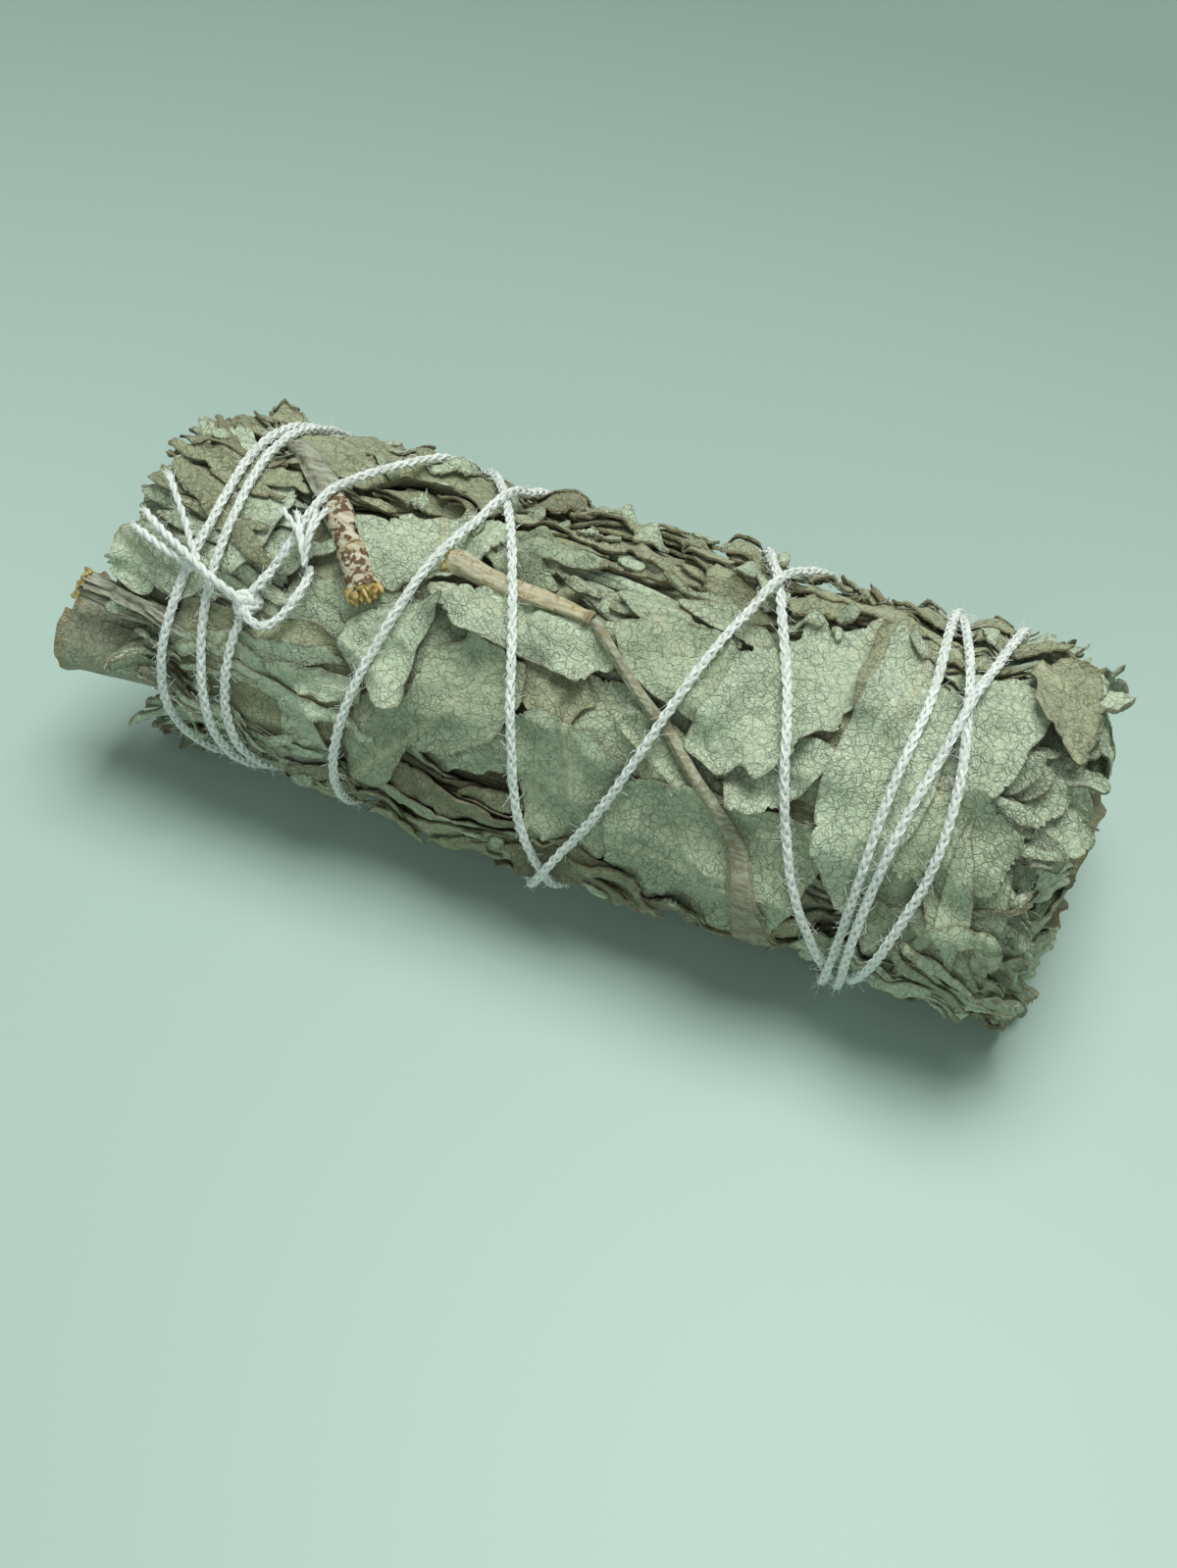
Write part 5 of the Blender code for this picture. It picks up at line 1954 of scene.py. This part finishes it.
    def centre_twig(self) -> None:
        """Build the pale twig, split along its top, with a brown joint at its far end."""
        flat = turned_path([(-15.6, 9), (-8, 12.5), (0.8, 16.5)], 0.3)
        t = np.linspace(0, 1, len(flat))
        seat = self.pile.read(*flat.T, self.pile.eased(5))
        radius = 1.25 - 0.75 * t**1.6 + 0.25 * np.exp(-((t - 0.98) / 0.03) ** 2)
        solid = Solid()
        rings = self.rod(solid, np.column_stack([flat, seat + 0.55]), radius, 64.0, 0.16,
                         0.8, vein=0.25 * t, edge=0.6 * np.exp(-((t - 0.98) / 0.03) ** 2))
        ahead = rings[0].mean(0) - rings[3].mean(0)
        self.splinters(solid, rings[0], ahead / np.linalg.norm(ahead), 18, 0.8, SEED + 61)
        solid.piece("pale_twig", self.palette.stem, Slot.STEM, ("centre_twig",))

    def leaf_stalk(self) -> None:
        """Build the long stalk: it bends down from the joint and widens into a folded sheath."""
        flat = turned_path([(1.2, 17), (2.6, 21), (5.8, 29), (12.6, 45), (18.6, 62), (21.6, 78),
                            (23.2, 98), (24.6, 116)], 0.4)
        t = np.linspace(0, 1, len(flat))
        seat = self.pile.read(*flat.T, self.pile.eased(5))
        radius = 0.52 + 0.2 * t + 2.1 * np.clip((t - 0.52) / 0.48, 0, 1) ** 1.2
        solid = Solid()
        self.rod(solid, np.column_stack([flat, seat + 0.3]), radius, 67.0, 0.22,
                 1.0 - 0.72 * np.clip((t - 0.4) / 0.4, 0, 1)[:, None], sides=34,
                 edge=0.35 * np.clip((t - 0.5) * 2, 0, 1))
        solid.piece("stalk_and_sheath", self.palette.stalk, Slot.STALK, ("leaf_stalk",))

    def thin_stem(self) -> None:
        """Build the two thin stems that stand out of the stem end, and their run under the string."""
        solid = Solid()
        for index, route in enumerate(([(-52.2, 53), (-47, 55), (-42, 59), (-36, 62)],
                                       [(-52.8, 59), (-48.5, 60), (-44, 62)])):
            flat = turned_path(route, 0.3)
            t = np.linspace(0, 1, len(flat))
            seat = np.maximum(self.pile.read(*flat.T, self.pile.eased(5)), 17.0)
            rings = self.rod(solid, np.column_stack([flat, seat + 0.4 - 1.6 * t**2]),
                             0.78 - 0.2 * index - 0.15 * t, 71.0 + index, 0.3, 0.8,
                             under=1.0 + 0 * t)
            ahead = rings[0].mean(0) - rings[3].mean(0)
            self.splinters(solid, rings[0], ahead / np.linalg.norm(ahead), 14, 0.5, SEED + 63)
        solid.piece("thin_stems", self.palette.stem, Slot.STEM, ("thin_stem",))


@dataclass
class Scroll:
    """The leaf rolled up at the stem end."""

    palette: Palette
    start: float = -55.0
    stop: float = -41.5
    outer: float = 5.8
    turns: float = 1.45
    pitch: float = 1.2

    def build(self) -> None:
        """Build the scroll, its left rim crusted and its right end torn open."""
        along = np.linspace(0, 1, 46)
        round_ = np.linspace(0, 1, 120)
        t, s = np.meshgrid(along, round_, indexing="ij")
        rim = 0.35 * NOISE.fractal(s * 34, 0 * s, 81.0, 2.6, 3)
        torn = 2.0 * NOISE.fractal(s * 34, 0 * s, 84.0, 3.6, 3)
        x = (self.start + rim) * (1 - t) + (self.stop + torn) * t
        turn = np.radians(118) + 2 * np.pi * self.turns * s
        wrinkle = NOISE.fractal(x * 0.3, s * 34, 86.0, 3.2, 3)
        streak = NOISE.fractal(x * 0.08, s * 34, 88.0, 0.9, 2)
        reach = self.outer - self.pitch * self.turns * s + 0.42 * wrinkle + 0.12 * streak
        reach = reach + 0.35 * np.exp(-(x - self.start) / 0.5) + 0.6 * np.exp(-s * 25)
        reach = reach * (1 - 0.02 * (x - self.start))
        centre = BUNDLE.world(np.array([0.0]), np.array([BUNDLE.degrees(86)]), np.array([12.2]))[0]

        def points(level: Array) -> Array:
            """Points at a distance from the scroll's own middle, in metres."""
            up = np.maximum(centre[2] + 0.93 * level * np.sin(turn) * MM, 0.1 * MM)
            across = centre[1] + level * np.cos(turn) * MM
            return np.stack([(x + BUNDLE.middle_x) * MM, across, up], -1).reshape(-1, 3)

        solid = Solid()
        edge = np.minimum(x - self.start - rim, self.stop + torn - x)
        solid.add_sheet(grid_quads(len(along), len(round_)), points(reach), points(reach - 0.45),
                        tone=0.5 * streak.ravel(), edge=np.clip(edge, 0, 9).ravel() * 0.35)
        solid.piece("rolled_up_leaf", self.palette.roll, Slot.GREEN, ("rolled_leaf",))


@dataclass
class TipLeaves:
    """Crumpled leaf tips that close over the far end of the bundle."""

    palette: Palette
    count: int = 5
    leaves_each: int = 8

    def build(self) -> None:
        """Build the leaves, each from the side of the bundle in over its end."""
        rng = np.random.default_rng(SEED + 8)
        for index in range(self.count):
            solid = Solid()
            for extra in range(self.leaves_each):
                self.crumpled(solid, 360 / self.count * index + 12 + 11 * extra,
                              rng.uniform(26, 44), index * 10 + extra, rng)
            slot = (Slot.GREY, Slot.GREEN, Slot.OLIVE)[index % 3]
            solid.piece(f"crumpled_tip_{index + 1}", self.palette.leaf[slot], slot,
                        (f"tip_leaf_{index + 1}",))

    def crumpled(self, solid: Solid, first: float, span: float, number: float,
                 rng: np.random.Generator) -> None:
        """Add one leaf tip: a sheet that bends in over the end and ruffles at its edge.

        Args:
            solid: The piece that it joins.
            first: Its middle round the bundle, in degrees.
            span: Its width there, in degrees.
            number: Its own number.
            rng: For its bend and bulge.
        """
        rows, columns = 34, 44
        t, s = np.meshgrid(np.linspace(0, 1, rows), np.linspace(-1, 1, columns), indexing="ij")
        depth = rng.uniform(0.55, 1.22)
        bend = t * (1.45 * depth)
        start = rng.uniform(41.5, 44.5)
        bulge = rng.uniform(5.0, 6.6)
        x = start + (bulge + 1.2) * np.sin(np.clip(bend, 0, 1.57)) - 0.8 * np.clip(bend - 0.9, 0, 2)
        reach = 16.6 - rng.uniform(0, 1.2) - 11.5 * (1 - np.cos(bend)) * depth
        narrow = (1 - 0.55 * t**1.5) * (1 + 0.25 * NOISE.at(t * 9, 0 * t, number, 2.0))
        angle = first + s * span / 2 * narrow
        arc_like = angle / 57.3 * 14
        ruffle = NOISE.fractal(arc_like, x + t * 6, number + 3, 3.2, 3)
        pleat = 1 - 2 * np.abs(NOISE.at(arc_like, t * 4, number + 5, 2.2))
        x = x + 1.15 * ruffle * t + 0.5 * ruffle + 0.55 * pleat * t
        reach = reach + 0.7 * NOISE.fractal(arc_like, x, number + 6, 2.6, 3) * (0.3 + t)
        ragged = 0.7 * NOISE.fractal(s * 8, 0 * t, number + 8, 2.6, 3)
        x = 51.3 - np.log1p(np.exp((51.3 - x - t**4 * ragged) * 1.6)) / 1.6
        reach = np.clip(reach, 0.8, 17.4)
        points = BUNDLE.world(x.ravel(), (np.radians(angle) * BUNDLE.radius).ravel(),
                              reach.ravel())
        inner = BUNDLE.world((x - 0.25 * np.sin(bend)).ravel(),
                             (np.radians(angle) * BUNDLE.radius).ravel(),
                             (reach - 0.28 * np.cos(bend)).ravel())
        edge = np.minimum((1 - np.abs(s)) * span * 0.12, (1 - t) * 9)
        solid.add_sheet(grid_quads(rows, columns), points, inner, tone=rng.uniform(-0.3, 0.6),
                        edge=edge.ravel())


@dataclass
class Studio:
    """A plain pale table with painted shade that darkens it away from the camera, soft light from above
    and the camera.
    """

    azimuth: float = 23.16
    elevation: float = 52.0
    distance: float = 0.2055
    aim_aside: float = -1.75
    aim_up: float = -8.76
    lens: float = 45.0
    table: Colour = (0.46, 0.60, 0.54)
    far_table_shade: Colour = (0.265, 0.355, 0.315)

    def build(self) -> None:
        """Set the table, the lights and the camera."""
        self.floor()
        self.lights()
        self.camera()

    def floor(self) -> None:
        """Lay the table top, its colour darkening away from the camera as painted shade."""
        mesh = bpy.data.meshes.new("table_top")
        turns = np.arange(96) / 96 * 2 * np.pi
        bend = np.linspace(0, np.pi / 2, 14)
        reaches = np.concatenate([[0.05, 0.3, 0.5], 0.6 + 0.5 * np.sin(bend), [1.1]])
        heights = np.concatenate([[0, 0, 0], 0.4 * (1 - np.cos(bend)), [0.7]])
        rings = np.stack([reaches[:, None] * np.cos(turns), reaches[:, None] * np.sin(turns),
                          heights[:, None] + 0 * turns], -1)
        solid = Solid()
        add_tube(solid, rings)
        mesh.from_pydata(rings.reshape(-1, 3).tolist(), [], solid.faces[:-1])
        mesh.polygons.foreach_set("use_smooth", [True] * len(mesh.polygons))
        made = Nodes("table_surface")
        place = made.node("ShaderNodeTexCoord", {}, "Object")
        away = made.node("ShaderNodeSeparateXYZ", {0: place}, "Y")
        # The table darkens towards its far side: painted shade for the light falling off.
        made.set(made.shader.inputs["Base Color"],
                 made.mix(made.spread(away, 0.0, 0.16), self.table, self.far_table_shade))
        made.shader.inputs["Roughness"].default_value = 0.42
        made.shader.inputs["Specular IOR Level"].default_value = 0.35
        mesh.materials.append(made.material)
        table = bpy.data.objects.new("table_top", mesh)
        bpy.context.scene.collection.objects.link(table)

    def lights(self) -> None:
        """Hang a large soft light overhead, a weaker one behind and fill the room."""
        for name, place, size, power in (("overhead", (0.05, 0.14, 0.75), 0.5, 5.4),
                                         ("front_fill", (0.25, -0.65, 0.55), 0.5, 1.0)):
            lamp = bpy.data.lights.new(name, "AREA")
            lamp.shape, lamp.size, lamp.energy = "DISK", size, power
            lamp.color = (0.96, 1.0, 0.97)
            obj = bpy.data.objects.new(name, lamp)
            bpy.context.scene.collection.objects.link(obj)
            obj.location = place
            obj.rotation_mode = "QUATERNION"
            obj.rotation_quaternion = Vector(place).to_track_quat("Z", "Y")
        world = bpy.data.worlds.new("room")
        bpy.context.scene.world = world
        world.use_nodes = True
        background = world.node_tree.nodes["Background"]
        background.inputs["Color"].default_value = (0.80, 0.90, 0.86, 1.0)
        background.inputs["Strength"].default_value = 0.2
        bpy.context.scene.view_settings.view_transform = "Standard"

    def camera(self) -> None:
        """Place the camera, looking down across the bundle from its tip end."""
        turn, rise = math.radians(self.azimuth), math.radians(self.elevation)
        back = Vector((math.sin(turn) * math.cos(rise), -math.cos(turn) * math.cos(rise),
                       math.sin(rise)))
        right = Vector((math.cos(turn), math.sin(turn), 0.0))
        up = back.cross(right)
        aim = Vector((BUNDLE.middle_x, 0.0, BUNDLE.axis_height)) * MM
        aim += right * self.aim_aside * MM + up * self.aim_up * MM
        data = bpy.data.cameras.new("camera")
        data.lens, data.clip_start = self.lens, 0.01
        camera = bpy.data.objects.new("camera", data)
        bpy.context.scene.collection.objects.link(camera)
        camera.location = aim + back * self.distance
        camera.rotation_mode = "QUATERNION"
        camera.rotation_quaternion = back.to_track_quat("Z", "Y")
        bpy.context.scene.camera = camera


def main() -> None:
    """Build the bunch from the inside out, then the studio."""
    logging.basicConfig(level=logging.INFO, format="%(name)s: %(message)s")
    palette = Palette()
    pile = Pile(base=15.5)
    press = Press(pile)
    binding = Binding(palette, pile)
    press.follow(*binding.way())
    Studio().build()
    LaidLeaves(palette, pile).build(press)
    PackedCore(palette).build(press)
    PackedLeaves(palette).build(press)
    CutStems(palette).build()
    Scroll(palette).build()
    TipLeaves(palette).build()
    Twigs(palette, pile).build()
    binding.build()


if __name__ == "__main__":
    main()
